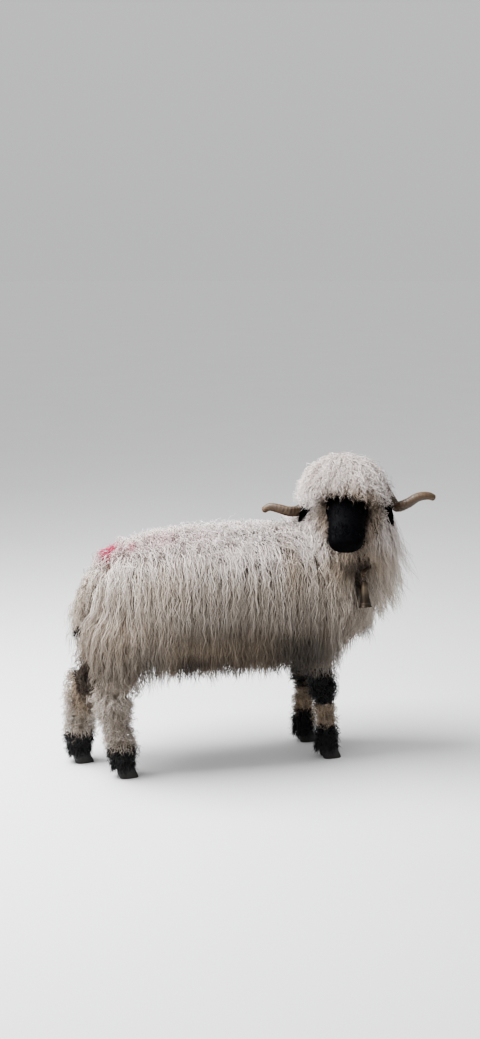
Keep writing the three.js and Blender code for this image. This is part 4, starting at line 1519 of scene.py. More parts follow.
    @staticmethod
    def bones(local: Array) -> list[Array]:
        """Cheek bones, jaw, the dips beside the nose and its bridge, as products of bell curves.

        Args:
            local: Rows of points of the head's frame.

        Returns:
            Moves along the way out, one array for each form.
        """
        x, y, z = local.T
        return [
            4.0 * bump(x, 112, 26) * bump(np.abs(y), 50, 16) * bump(z, 8, 20),
            3.0 * bump(x, 40, 40) * bump(z, -48, 22),
            -2.5 * bump(x, 186, 22) * bump(np.abs(y), 48, 14) * bump(z, -6, 16),
            2.2 * bump(x, 225, 26) * bump(y, 0, 15) * bump(z, 34, 12),
        ]

    def mouth(self, points: Array, local: Array) -> Array:
        """The mouth: a groove with a lip over and under it.

        Its line runs along both sides of the skull's tube and round the nose. The moves are
        bell curves of the distance over or under the line, and fade at its two ends.

        Args:
            points: Rows of points of the animal.
            local: The same points in the head's frame.

        Returns:
            Moves along the way out.
        """
        a, samples = self.anatomy, 240
        along = np.array([0.66, 0.74, 0.82, 0.9, 0.97, 1.0])
        angle = np.radians([-15, -19, -22, -24.5, -27, -29])
        left, right = a.skull.point(along, angle), a.skull.point(along, math.pi - angle)
        front = a.in_head(rows_of([[a.head_length * 0.84 + self.dome * 0.8, 0, -13.5]]))
        line = smooth_path(np.vstack([left, front, right[::-1]]), np.linspace(0, 1, samples))
        line = self.tapered(line)
        square = ((points[:, None] - line[None]) ** 2).sum(2)
        nearest = square.argmin(1)
        over = np.sign(local[:, 2] - a.from_head(line)[nearest, 2])
        signed = over * np.sqrt(square.min(1))
        fade = np.minimum(1, np.minimum(nearest, samples - 1 - nearest) / 30)
        return fade * (
            -4.2 * bump(signed, 0, 1.7) + 1.7 * bump(signed, 5.5, 3.6) + 1.3 * bump(signed, -5.5, 4)
        )

    @staticmethod
    def nose(local: Array) -> tuple[list[Array], Array]:
        """Nostrils with a raised wing, the split between them, and the bare skin round them.

        A nostril is an ellipsoid turned by 38 degrees, sunk inside and raised at its edge.

        Args:
            local: Rows of points of the head's frame.

        Returns:
            Moves along the way out, one array for each form, and a mask of bare skin.
        """
        x, y, z = local.T
        moves, bare = [], ease(x, 237, 244) * (1 - ease(np.abs(y), 22, 32)) * ease(z, -14, -8)
        for way in (1, -1):
            turn = math.radians(38) * way
            dx, dy, dz = x - 236, y - way * 19, z - 12
            u = dx * math.cos(turn) + dy * math.sin(turn)
            v = -dx * math.sin(turn) + dy * math.cos(turn)
            slot = np.sqrt((u / 12) ** 2 + (v / 6.5) ** 2 + (dz / 8.5) ** 2)
            moves.append(-7.5 * (1 - ease(slot, 0.55, 1.0)) + 2.2 * bump(slot, 1.32, 0.28))
            bare = np.maximum(bare, 1 - ease(slot, 1.1, 1.7))
        groove = bump(y, 0, 1.8) * ease(x, 229, 239) * ease(z, -14, -9) * (1 - ease(z, 8, 16))
        return [*moves, -2.4 * groove], bare

    def socket(self, points: Array, way: int) -> Array:
        """An eye's socket, the lids' rim, a brow over it and a tear line towards the nose.

        The slit is an ellipse, taller over the eye than under it. The rims are bell curves
        of the share of that ellipse, and brow and tear line bell curves of the place.

        Args:
            points: Rows of points of the animal.
            way: 1 for the left eye, -1 for the right.

        Returns:
            Moves along the way out.
        """
        middle, out, nose, over = self.eye_frame(way)
        rel = points - middle
        u, v, w = rel @ nose, rel @ over - 1.0, rel @ out
        near = ease(w, -6, 2) * (np.sqrt(u**2 + v**2) < 46)
        slit = np.sqrt((u / 16.5) ** 2 + (v / np.where(v > 0, 9.6, 8.0)) ** 2)
        return near * (
            -11.0 * (1 - ease(slit, 0.72, 0.98)) + 4.6 * bump(slit, 1.16, 0.2)
            + 1.2 * bump(slit, 1.75, 0.16) - 1.4 * bump(slit, 1.48, 0.12)
            + 4.0 * bump(v, 21, 7) * bump(u, -2, 17)
            - 2.6 * bump(u, 27, 8) * bump(v, -5, 4)
        )

    def ear(self, way: float) -> tuple[Array, list[Array]]:
        """An ear: a leaf that hangs from the side of the head, cupped on its front.

        Each section is a thin crescent. Its back is half an ellipse, and its front is the
        same half ellipse pulled back by the wall, so that a hollow runs down the leaf.

        Args:
            way: 1 for the left ear, -1 for the right.

        Returns:
            Points and faces.
        """
        a = self.anatomy
        rows = a.ear_rows(way)
        rings = self.ear_rings
        t = np.linspace(0, 1, rings)
        at = smooth_path(a.in_level(rows[:, :3], way), t)
        wide = (19 if way > 0 else 13) * smooth_path(rows[:, 3:], t)[:, 0]
        along = unit(np.gradient(at, axis=0))
        ahead = a.head_turn @ np.array([1, way * 0.5, 0])
        side = unit(np.cross(np.repeat(ahead[None], rings, 0), along))
        face = np.cross(along, side)
        x = np.cos(np.linspace(0, math.pi, self.ear_half + 1))
        depth = (7.5 * np.sin(np.pi * np.clip(t, 0, 1)) ** 0.6 + 1.5)[:, None]
        curl = 1 - x[None] ** 2
        back = -depth * curl + 2.5
        wall = (2.2 * np.sqrt(np.maximum(curl, 0)) + 0.1) * (0.5 + 0.5 * (1 - t[:, None]) ** 0.3)
        front = back + wall
        ring_x = np.repeat(np.concatenate([x, x[-2:0:-1]])[None], rings, 0)
        ring_z = np.concatenate([front, back[:, -2:0:-1]], 1)
        ripple = 1 + 0.04 * np.sin(t * 22 + way)[:, None]
        points = (
            at[:, None] + side[:, None] * (ring_x * wide[:, None] * ripple)[..., None]
            + face[:, None] * ring_z[..., None]
        )
        ends = np.vstack([at[0], at[-1] + along[-1] * 4])
        return np.vstack([points.reshape(-1, 3), ends]), tube_faces(rings, 2 * self.ear_half)

    def build(self, material: bpy.types.Material) -> bpy.types.Object:
        """Joins the fused body, the fine head and the ears into the skin.

        Args:
            material: The skin's finish.

        Returns:
            The finished piece.
        """
        a = self.anatomy
        body, body_tris = self.fused()
        body[:, 2] = np.maximum(body[:, 2], a.claw_height - 1)
        head, head_faces, head_bare = self.head()
        points, faces = [body, head], [body_tris, *(f + len(body) for f in head_faces)]
        bare = [np.zeros(len(body)), head_bare]
        black = [self.markings.black(body), self.markings.black(head)]
        base = len(body) + len(head)
        for way in (1, -1):
            ear, ear_faces = self.ear(way)
            points.append(ear)
            faces += [f + base for f in ear_faces]
            bare.append(np.zeros(len(ear)))
            black.append(np.ones(len(ear)))
            base += len(ear)
        every = np.vstack(points)
        masks = self.markings.all(every)
        masks["black"] = np.concatenate(black)
        masks["bare"] = np.concatenate(bare)
        masks["flow"] = self.flow(every)
        quads = np.vstack([f for f in faces if f.shape[1] == 4])
        tris = np.vstack([f for f in faces if f.shape[1] == 3])
        return self.place.piece(
            "skin", every, [quads, tris], masks, material, "face", "torso", "neck", "head",
            "tail", "ear_left", "ear_right", *(f"leg_{name}" for name in a.FEET),
        )

    def flow(self, points: Array) -> Array:
        """A place stretched along the lie of the short hair, in metres.

        On the head the hair runs along the head, so its own X is shortened. Elsewhere it
        runs down, so Z is.

        Args:
            points: Rows of points of the animal.

        Returns:
            One row for each point.
        """
        local = self.anatomy.from_head(points)
        near = self.anatomy.near_head(local, 230)[:, None]
        return np.where(near, local * [0.16, 1, 1], points * [1, 1, 0.16]) / 1000


# Coat


class Wave(Enum):
    """How the strands of a lock are waved."""

    CRIMP = "crimp"
    CURL = "curl"
    STRAIGHT = "straight"


@dataclass(frozen=True)
class LockKind:
    """Sizes of one kind of lock, in millimetres.

    A lock has `strands` of `rings` sections, which start within `spread` of its root, keep
    the share `gather` of that at the tip, and are `width` wide and `flat` times as thick.
    Their wave is `height` high and `pitch` long, and `fray` makes them differ.
    """

    strands: int
    rings: int
    spread: float
    gather: float
    width: float
    wave: Wave
    height: float
    pitch: float
    flat: float = 0.6
    fray: float = 1.0


@dataclass
class Locks:
    """Lines of locks, with the way out at each point, ready to be turned into strands."""

    root: Array
    out: Array
    line: Array
    outs: Array
    uv: Array
    scale: Array

    def only(self, keep: Array) -> "Locks":
        """The locks that a mask keeps."""
        return Locks(*(getattr(self, f.name)[keep] for f in fields(self)))

    @staticmethod
    def joined(parts: Sequence["Locks"]) -> "Locks":
        """Several sets of locks as one. Their lines need the same number of points."""
        names = [f.name for f in fields(Locks)]
        return Locks(*(np.concatenate([getattr(p, n) for p in parts]) for n in names))


@dataclass
class Roots:
    """Roots of locks on a tube: on its bare skin, and over that on its dense wool."""

    t: Array
    skin: Array
    core: Array
    out: Array
    uv: Array


@dataclass
class Coat:
    """The whole fleece: where its locks grow, how they hang, and the strands they are made of."""

    anatomy: Anatomy
    markings: Markings
    place: Place
    material: bpy.types.Material
    hair: bpy.types.Material
    seed: int = 7
    hem_belly: float = 308.0
    hem_shoulder: float = 300.0
    hem_chest: float = 428.0
    hem_thigh: float = 282.0
    hem_rump: float = 300.0
    lowest: float = 2.0
    trunk_roots: int = 3150
    under_roots: int = 1150
    chest_front_roots: int = 190
    neck_roots: int = 1500
    crown_roots: int = 735
    cheek_roots: int = 560
    foot_roots: int = 460
    thigh_roots: tuple[int, int] = (100, 170)  # on a front leg, and on a hind leg
    shank_roots: tuple[int, int] = (250, 350)
    tail_roots: int = 120
    face_tufts: int = 2800
    ear_tufts: int = 420
    triangles: int = 0

    # Each kind of lock by where it grows, in the order of LockKind's sizes
    KINDS = {
        "flank": LockKind(5, 8, 16.0, 0.28, 2.9, Wave.CRIMP, 6.0, 62.0, fray=0.8),
        "back": LockKind(6, 7, 17.0, 0.6, 2.4, Wave.CURL, 5.4, 23.0, fray=0.7),
        "chest": LockKind(6, 7, 15.0, 0.4, 2.4, Wave.CURL, 5.0, 40.0),
        "under": LockKind(7, 5, 20.0, 0.9, 2.3, Wave.CURL, 4.0, 26.0),
        "ruff": LockKind(5, 8, 15.0, 0.4, 2.7, Wave.CURL, 5.6, 44.0, fray=0.8),
        "mop": LockKind(7, 9, 15.0, 0.7, 2.3, Wave.CURL, 6.6, 26.0, fray=0.7),
        "thigh": LockKind(5, 9, 14.0, 0.4, 2.7, Wave.CURL, 5.0, 40.0),
        "shank": LockKind(5, 7, 10.0, 0.75, 2.4, Wave.CURL, 4.6, 21.0),
        "foot": LockKind(3, 4, 4.0, 0.7, 2.2, Wave.STRAIGHT, 0, 10.0),
        "tail": LockKind(6, 7, 9.0, 0.4, 2.2, Wave.CURL, 3.4, 34.0),
        "cheek": LockKind(6, 6, 10.0, 0.6, 2.1, Wave.CURL, 4.0, 27.0),
        "hair": LockKind(1, 4, 0.5, 0.7, 1.7, Wave.STRAIGHT, 0, 10.0),
    }

    def __post_init__(self) -> None:
        """Starts the seeded draw, and lays out what the head's wool has to leave free."""
        self.random = np.random.default_rng(self.seed)
        self.obstacles, self.horn_bases = [], []
        for name, way in (("left", 1.0), ("right", -1.0)):
            horn, ear = Horns.ROWS[name], self.anatomy.ear_rows(way)
            self.horn_bases.append((self.rod(horn[:4], way, 22.0), 7.0))
            self.obstacles += [self.rod(horn[3:], way, 14.0), self.rod(ear[2:, :3], way, 13.0)]

    def rod(self, rows: Sequence[Sequence[float]], way: float, half: float) -> Tube:
        """A round tube through places across, back and up from the poll.

        Args:
            rows: The places.
            way: 1 for the head's left side, -1 for its right.
            half: The tube's radius.

        Returns:
            The tube.
        """
        at = self.anatomy.in_level(rows_of(rows), way)
        hint = self.anatomy.head_turn[:, 0][None]
        return Tube(at, np.full((len(at), 3), half), hint, samples=24)

    def draw(self, count: int, share: float) -> Array:
        """Draws between -share and share."""
        return self.random.uniform(-share, share, count)

    def vary(self, count: int, share: float) -> Array:
        """Factors between 1 - share and 1 + share."""
        return 1 + self.draw(count, share)

    def within(self, count: int, low: float, high: float) -> Array:
        """Draws between two limits."""
        return self.random.uniform(low, high, count)

    def lean(self, count: int, spread: float) -> Array:
        """Rows of three draws from a bell curve."""
        return self.random.normal(0, spread, (count, 3))

    def scatter(
        self, tube: Tube, count: int, start: float = 0.0, end: float = 1.0,
        patch: tuple[float, float, float, float] = (0.0, 0.0, 1.0, 1.0),
    ) -> Roots:
        """Roots spread evenly over a tube by turns of the golden angle.

        Places along follow the running sum of the tube's girth. The patch of the unwrap
        takes the angle across and the place along.

        Args:
            tube: What they grow on.
            count: How many.
            start: Where on the tube they begin.
            end: Where they end.
            patch: Low and high corner of the square that the tube's unwrap fills.

        Returns:
            The roots.
        """
        grid = np.linspace(start, end, 241)
        f = tube.frame(grid)
        girth = f["size"][:, 0] + (f["size"][:, 1] + f["size"][:, 2]) / 2
        step = np.linalg.norm(np.gradient(f["at"], axis=0), axis=1)
        total = np.concatenate([[0], np.cumsum((girth * step)[1:])])
        t = np.interp((np.arange(count) + 0.5) / count * total[-1], total, grid)
        angle = np.arange(count) * GOLDEN + self.draw(count, 0.2)
        t = np.clip(t + self.draw(count, 0.5 * (end - start) / math.sqrt(count)), start, end)
        turn = np.mod(angle / TURN, 1)
        low_u, low_v, high_u, high_v = patch
        uv = np.stack([
            mix(low_u, high_u, 0.01 + 0.98 * turn),
            mix(low_v, high_v, 0.01 + 0.98 * (t - start) / (end - start)),
        ], 1)
        skin, core = tube.skin(t, angle), tube.point(t, angle)
        return Roots(t, skin, core, tube.outward(t, angle), uv)

    def nearest(self, points: Array, bodies: Sequence[tuple[Tube, float]]) -> tuple[Array, Array]:
        """The smallest gap to several tubes, each raised by its own height, and the way out.

        Args:
            points: Rows of points.
            bodies: The tubes, each with its extra height.

        Returns:
            Gaps, and ways out of the nearest tube.
        """
        gap = np.full(len(points), np.inf)
        out = np.zeros_like(points)
        for tube, rise in bodies:
            g, o, _ = tube.locate(points)
            closer = g - rise < gap
            gap = np.where(closer, g - rise, gap)
            out = np.where(closer[:, None], o, out)
        return gap, out

    def hang(
        self, roots: Roots, bodies: Sequence[tuple[Tube, float]], length: Array, lift: Array,
        flow: Array, steps: int = 6, stiff: float | Array = 0.35,
    ) -> Locks:
        """Lines that leave the skin, slide down over the bodies and fall where none is.

        Each step goes down and along the flow. Where that leads into a body, the part into
        it is taken out, and a point that comes too near is pushed out to its wanted height.

        Args:
            roots: Where the locks grow.
            bodies: Tubes to stay outside of, each with an extra height.
            length: Each lock's length.
            lift: How far each lock's end stands off.
            flow: A leaning of each lock, added to the way down.
            steps: Steps along each lock.
            stiff: How much it first stands straight out.

        Returns:
            The locks, with lines of steps + 2 points.
        """
        count = len(length)
        here = roots.core + roots.out * (lift * 0.15)[:, None]
        line, outs = [roots.skin - roots.out * 2, here.copy()], [roots.out, roots.out]
        wave = self.random.uniform(-0.26, 0.26, (count, 3)) * [1, 1, 0]
        down = np.array([0, 0, -1.0])
        step = (length / steps)[:, None]
        stiffness = np.broadcast_to(stiff, count)[:, None]
        for i in range(1, steps + 1):
            gap, out = self.nearest(here, bodies)
            way = down + flow + wave * (1 if i % 2 else -1)
            into = dot(way, out)
            blocked = ((into[:, 0] < 0) & (gap < lift * 1.5))[:, None]
            way = np.where(blocked, way - out * into, way)
            way = way + roots.out * stiffness * max(0.0, 1.6 - 0.8 * i)
            here = here + unit(way) * step
            gap, out = self.nearest(here, bodies)
            wanted = lift * min(1.0, (i + 0.7) / steps)
            here = here + out * np.maximum(0, wanted - gap)[:, None]
            line.append(here.copy())
            outs.append(unit(out + roots.out * 0.2))
        scale = self.vary(count, 0.18)
        return Locks(roots.skin, roots.out, np.stack(line, 1), np.stack(outs, 1), roots.uv, scale)

    def strands(self, locks: Locks, kind: LockKind) -> dict[str, Array]:
        """Turns each lock into strands.

        A lock's line is made smooth. Each strand starts at its own place in a round patch of
        skin, keeps a share of that offset that shrinks to `gather` at the tip, and ends at
        its own share of the line. Its wave is a sine across the line, or a turning circle
        for a curl, that grows from the root. A section has three corners, flatter than it is
        wide, and the last ring is one point.

        Args:
            locks: The locks' lines.
            kind: Their sizes.

        Returns:
            Points, faces, and the roots, tones and unwrap of the strands.
        """
        count, n, r = len(locks.root), kind.strands, kind.rings
        fine = 4 * (locks.line.shape[1] - 1) + 1
        line = self.refined(locks.line, fine)
        outs = unit(self.refined(locks.outs, fine))
        along = unit(np.gradient(line, axis=1))
        side = unit(np.cross(outs, along) + 1e-9)
        side[:, 0] = side[:, 2]
        side[:, 1] = side[:, 2]
        face = unit(np.cross(along, side))
        total = count * n
        which = np.repeat(np.arange(count), n)
        k = np.tile(np.arange(n), count)
        lock_draw = self.random.random((count, 4))
        mine = self.random.random((total, 8))
        far = kind.spread * locks.scale[which] * np.sqrt((k + 0.5) / n) * (0.6 + 0.8 * mine[:, 0])
        around = k * GOLDEN + lock_draw[which, 0] * TURN
        a, b = far * np.cos(around), far * np.sin(around)
        ends = 1 - 0.36 * kind.fray * mine[:, 1] ** 1.5
        s = np.linspace(0, 1, r) ** 0.85
        place = (s[None] * ends[:, None]) * (fine - 1)
        low = np.minimum(place.astype(int), fine - 2)
        w = (place - low)[..., None]
        rows = which[:, None]

        def at(values: Array) -> Array:
            """Values of the fine line at each ring's place."""
            return values[rows, low] * (1 - w) + values[rows, low + 1] * w

        middle, sides, faces = at(line), unit(at(side)), unit(at(face))
        length = np.linalg.norm(np.diff(line, axis=1), axis=2).sum(1)[which] * ends
        gather = kind.gather * (0.5 + lock_draw[which, 3:4])
        shrink = 1 + (gather - 1) * s[None] ** 0.8
        u, v = a[:, None] * shrink, b[:, None] * shrink
        grow = np.minimum(1, s * 2.2)[None] * kind.height * locks.scale[which, None]
        phase = lock_draw[which, 1] * TURN + (mine[:, 2] - 0.5) * 2.4 * kind.fray
        turns = length / (kind.pitch * (0.75 + 0.5 * lock_draw[which, 2]))
        wave = s[None] * turns[:, None] * TURN + phase[:, None]
        own = 0.4 + 1.1 * mine[:, 3:4]
        if kind.wave is Wave.CURL:
            u, v = u + grow * own * np.cos(wave), v + grow * own * np.sin(wave)
        elif kind.wave is Wave.CRIMP:
            u = u + grow * own * np.sin(wave)
            v = v + 0.5 * grow * own * np.sin(wave * 0.83 + 1.3)
        stray = (mine[:, 4:6] - 0.5) * kind.fray * 34
        strays = (mine[:, 6:7] > 0.8) * s[None] ** 1.6
        u, v = u + stray[:, 0:1] * strays, v + stray[:, 1:2] * strays
        path = middle + sides * u[..., None] + faces * v[..., None]
        tangent = unit(np.gradient(path, axis=1))
        across = unit(np.cross(faces, tangent))
        over = np.cross(tangent, across)
        belly = 0.62 + 0.38 * np.sin(np.pi * s[None] ** 0.7)
        thin = (0.5 + 0.8 * mine[:, 7:8]) * kind.width * belly
        thin = (thin * (1 - 0.6 * s[None] ** 3))[:, :-1, None, None]
        corners = np.radians([90, 210, 330])
        ring = (
            path[:, :-1, None] + across[:, :-1, None] * thin * (np.cos(corners) / 2)[:, None]
            + over[:, :-1, None] * thin * (np.sin(corners) / 2 * kind.flat)[:, None]
        )
        each = 3 * (r - 1) + 1
        points = np.concatenate([ring.reshape(total, 3 * (r - 1), 3), path[:, -1:]], 1)
        base = (np.arange(total) * each)[:, None, None]
        i, c = np.meshgrid(np.arange(r - 2), np.arange(3), indexing="ij")
        d = (c + 1) % 3
        quad = np.stack([3 * i + c, 3 * i + d, 3 * i + 3 + d, 3 * i + 3 + c], -1).reshape(1, -1, 4)
        end = 3 * (r - 2)
        tri = np.array([[end + c, end + (c + 1) % 3, each - 1] for c in range(3)] + [[0, 2, 1]])
        levels = np.concatenate([np.repeat(s[:-1], 3), [1.0]])
        corner = np.concatenate([np.tile([0.0, 0.5, 1.0], r - 1), [0.5]])
        uv = (locks.uv[which] + (mine[:, :2] - 0.5) * 0.004)[:, None] + 0.003 * (
            np.stack([corner, levels], 1)[None] - 0.5
        )
        return {
            "points": points.reshape(-1, 3),
            "quads": (base + quad).reshape(-1, 4),
            "tris": (base + tri[None]).reshape(-1, 3),
            "root": locks.root[which] + sides[:, 0] * a[:, None] + faces[:, 0] * b[:, None],
            "lot": 0.4 * mine[:, 5] + 0.6 * lock_draw[which, 3],
            "along": np.tile(levels, total),
            "uv": np.clip(uv.reshape(-1, 2), 0, 1),
            "each": np.full(total, each),
        }

    @staticmethod
    def refined(line: Array, fine: int) -> Array:
        """Lines of points made smooth, with `fine` points each: cubic spans through the points.

        Each span's end slopes are half the chord across the point's two neighbours.

        Args:
            line: Lines of points, one line to a row.
            fine: How many points each gets.

        Returns:
            The same lines with more points.
        """
        slope = np.gradient(line, axis=1)
        place = np.linspace(0, line.shape[1] - 1, fine)
        low = np.minimum(place.astype(int), line.shape[1] - 2)
        w = (place - low)[None, :, None]
        p, q, m, n = line[:, low], line[:, low + 1], slope[:, low], slope[:, low + 1]
        return (
            p * (1 - 3 * w**2 + 2 * w**3) + q * (3 * w**2 - 2 * w**3)
            + m * (w - 2 * w**2 + w**3) + n * (w**3 - w**2)
        )

    def finish(
        self, name: str, parts: Sequence[dict[str, Array]], black: float | None = None,
        slot: str = "wool",
    ) -> None:
        """Puts strands into one coat piece.

        The black mask is asked once at each strand's root, and earth with painted shade, and
        dye, at every point. The place that colours a point lies over its root, at the point's own
        height.

        Args:
            name: The piece's name.
            parts: What `strands` returned.
            black: A fixed black mask, or none to ask the markings at the roots.
            slot: wool for the fleece's finish, anything else for the short hair's.
        """
        points, root, lot, along, uv, each = (
            np.concatenate([p[key] for p in parts])
            for key in ("points", "root", "lot", "along", "uv", "each")
        )
        faces, base = {"quads": [], "tris": []}, 0
        for part in parts:
            for key in faces:
                faces[key].append(part[key] + base)
            base += len(part["points"])
        points[:, 2] = np.maximum(points[:, 2], self.lowest)
        dark = self.markings.black(root) if black is None else np.full(len(root), black)
        above = np.repeat(root, each, 0)
        above[:, 2] = points[:, 2]
        attributes = {
            "black": np.repeat(dark, each),
            "stain_and_shade": self.markings.stain_and_shade(points),
            "dye": self.markings.dye(points),
            "lot": np.repeat(lot, each),
            "along": along,
            "root": self.place.put(above),
        }
        quads, tris = np.vstack(faces["quads"]), np.vstack(faces["tris"])
        material = self.material if slot == "wool" else self.hair
        self.place.piece(name, points, [quads, tris], attributes, material, slot, uv=uv)
        count = 2 * len(quads) + len(tris)
        self.triangles += count
        LOG.info("%s: %d triangles", name, count)

    def chest_roots(self, count: int) -> Roots:
        """Roots on the trunk's front end, spread over its half ellipsoid by the golden angle.

        Args:
            count: How many.

        Returns:
            The roots.
        """
        trunk = self.anatomy.trunk
        f = trunk.frame(np.array([1.0]))
        share = 0.97 * np.sqrt((np.arange(count) + 0.5) / count)
        angle = np.arange(count) * GOLDEN
        wide, tall = f["size"][0, :2] + self.anatomy.core + 14
        ahead = (trunk.ends[1] + 1) * np.sqrt(1 - share**2)
        spread = (
            f["side"] * (np.cos(angle) * share * wide)[:, None]
            + f["up"] * (np.sin(angle) * share * tall)[:, None]
        )
        core = f["at"] + f["along"] * ahead[:, None] + spread
        out = unit(f["along"] * (1.2 - share)[:, None] + unit(spread) * share[:, None])
        uv = np.stack([0.01 + 0.98 * np.mod(angle / TURN, 1), 0.9 + 0.08 * (1 - share)], 1)
        return Roots(np.ones(count), core - out * 30, core, out, uv)

    def hem(self, x: Array) -> Array:
        """The height of the hem along the body, lower at the thighs than at the chest.

        Args:
            x: Places along the body.

        Returns:
            Heights over the floor.
        """
        ahead = mix(self.hem_shoulder, self.hem_chest, ease(x, 330, 470))
        middle = mix(self.hem_belly, ahead, ease(x, 180, 290))
        thigh = mix(self.hem_rump, self.hem_thigh, ease(x, -350, -290))
        return mix(thigh, middle, ease(x, -260, -150))

    def flanks(self, bodies: Sequence[tuple[Tube, float]]) -> Locks:
        """The trunk's own locks: long on the flanks down to the hem, short along the back.

        Args:
            bodies: Tubes to stay outside of, each with an extra height.

        Returns:
            The locks that lie outside neck and legs.
        """
        a = self.anatomy
        roots = self.scatter(a.trunk, self.trunk_roots, 0.0, 0.985)
        top = np.maximum(0, roots.out[:, 2])
        x, y, z = roots.core.T
        chest, rump = ease(x, 330, 480), 1 - ease(x, -360, -250)
        count = len(x)
        room = z - self.hem(x) + self.draw(count, 22)
        length = 198 * (1 - 0.2 * top) * self.vary(count, 0.16)
        length = np.minimum(length, np.maximum(50, room * 1.05))
        length = mix(length, 50.0, ease(roots.out[:, 2], 0.6, 0.92))
        lift = np.minimum(27 * (1 + 0.7 * chest + 0.2 * rump), 0.42 * length)
        lift = lift * self.within(count, 0.3, 1.15)
        lean = np.where(y < 0, -1, 1) * 0.3 * top
        flow = np.stack([0.1 * chest - 0.2 * rump, lean, 0 * x], 1)
        flow[:, :2] += self.random.normal(0, 0.35, (count, 2)) * (top**3)[:, None]
        keep = (a.neck.locate(roots.core)[0] >= 0) | (z <= 560)
        keep &= (chest <= 0.2) | (room >= -30)
        for leg in a.legs.values():
            keep &= leg.locate(roots.core)[0] > 2
        return self.hang(roots, bodies, length, lift, flow).only(keep)

    def undercoat(self, bodies: Sequence[tuple[Tube, float]]) -> Locks:
        """Short curls between the locks of the back, which close their gaps.

        Args:
            bodies: Tubes to stay outside of, each with an extra height.

        Returns:
            The locks.
        """
        roots = self.scatter(self.anatomy.trunk, self.under_roots, 0.0, 0.985)
        count = len(roots.t)
        keep = (roots.out[:, 2] > 0.4) & (self.anatomy.neck.locate(roots.core)[0] > 0)
        length, lift = 44 * self.vary(count, 0.3), self.within(count, 4, 16)
        return self.hang(roots, bodies, length, lift, self.lean(count, 0.6), 3).only(keep)

    def bib(self, bodies: Sequence[tuple[Tube, float]]) -> Locks:
        """Locks on the front of the chest.

        Args:
            bodies: Tubes to stay outside of, each with an extra height.

        Returns:
            The locks.
        """
        roots = self.chest_roots(self.chest_front_roots)
        count = len(roots.t)
        length, lift = 94 * self.vary(count, 0.25), self.within(count, 12, 42)
        return self.hang(roots, bodies, length, lift, self.lean(count, 0.2) + [0.1, 0, -0.8])

    def torso(self) -> None:
        """The trunk's fleece, in three pieces to a side."""
        bodies = [(self.anatomy.trunk, 0.0), *((leg, 14.0) for leg in self.anatomy.legs.values())]
        locks, short, bib = (grow(bodies) for grow in (self.flanks, self.undercoat, self.bib))
        steep = locks.out[:, 2] < 0.72
        groups = (
            (locks.only(steep), "flank"), (locks.only(~steep), "back"), (short, "under"),
            (bib, "chest"),
        )
        edges = {"rear": (-math.inf, -110), "middle": (-110, 140), "front": (140, math.inf)}
        for side in ("right", "left"):
            for part, (low, high) in edges.items():

                def here(root: Array) -> Array:
                    """Which roots are on this part of this side."""
                    beside = (root[:, 1] > 0) == (side == "left")
                    return beside & (root[:, 0] > low) & (root[:, 0] <= high)

                self.finish(f"fleece_{side}_{part}", [
                    self.strands(some.only(here(some.root)), self.KINDS[kind])
                    for some, kind in groups
                ])

    def ruff(self) -> None:
        """The neck's own locks, longest in front, over the chest and the shoulders."""
        a = self.anatomy
        bodies = [(a.neck, 0.0), (a.trunk, 34.0), (a.skull, 6.0)]
        roots = self.scatter(a.neck, self.neck_roots, 0.12, 1.0)
        count = len(roots.t)
        front = ease(roots.out[:, 0], -0.2, 0.7)
        hem = mix(405, 462, ease(roots.core[:, 0], 430, 540))
        room = roots.core[:, 2] - hem + self.draw(count, 18)
        length = 165 * mix(0.75, 1.16, front) * self.vary(count, 0.16)
        length = np.minimum(length, np.maximum(46, room))
        lift = 40 * mix(0.55, 1.4, front) * self.within(count, 0.35, 1.08)
        lift = np.minimum(lift, 0.5 * length)
        flow = roots.out * [0.25, 0.25, 0] + self.lean(count, 0.12)
        keep = (a.trunk.locate(roots.core)[0] > 2) & (a.crown.locate(roots.core)[0] > -14)
        locks = self.hang(roots, bodies, length, lift, flow).only(keep & (room > 4))
        locks = locks.only(self.clear_of_bell(locks) & self.clear(locks, 12))
        right = locks.root[:, 1] < -24
        for name, half in (("ruff_right", right), ("ruff_left", ~right)):
            self.finish(name, [self.strands(locks.only(half), self.KINDS["ruff"])], black=0.0)

    def clear_of_bell(self, locks: Locks) -> Array:
        """A mask of the locks whose lines stay out of the box of room in front of the bell."""
        low, high = np.array([410, -380, 508]), np.array([462, -172, 614])
        return ~((locks.line > low) & (locks.line < high)).all(2).any(1)

    def clear(self, locks: Locks, room: float) -> Array:
        """A mask of the locks that stay clear of the horns' and the ears' outer parts.

        Args:
            locks: The locks.
            room: The gap that each point of a line keeps.

        Returns:
            True for each lock that keeps it.
        """
        found = np.ones(len(locks.root), bool)
        line = locks.line[:, 2:].reshape(-1, 3)
        for tube in self.obstacles:
            found &= tube.locate(line)[0].reshape(len(found), -1).min(1) > room
        return found

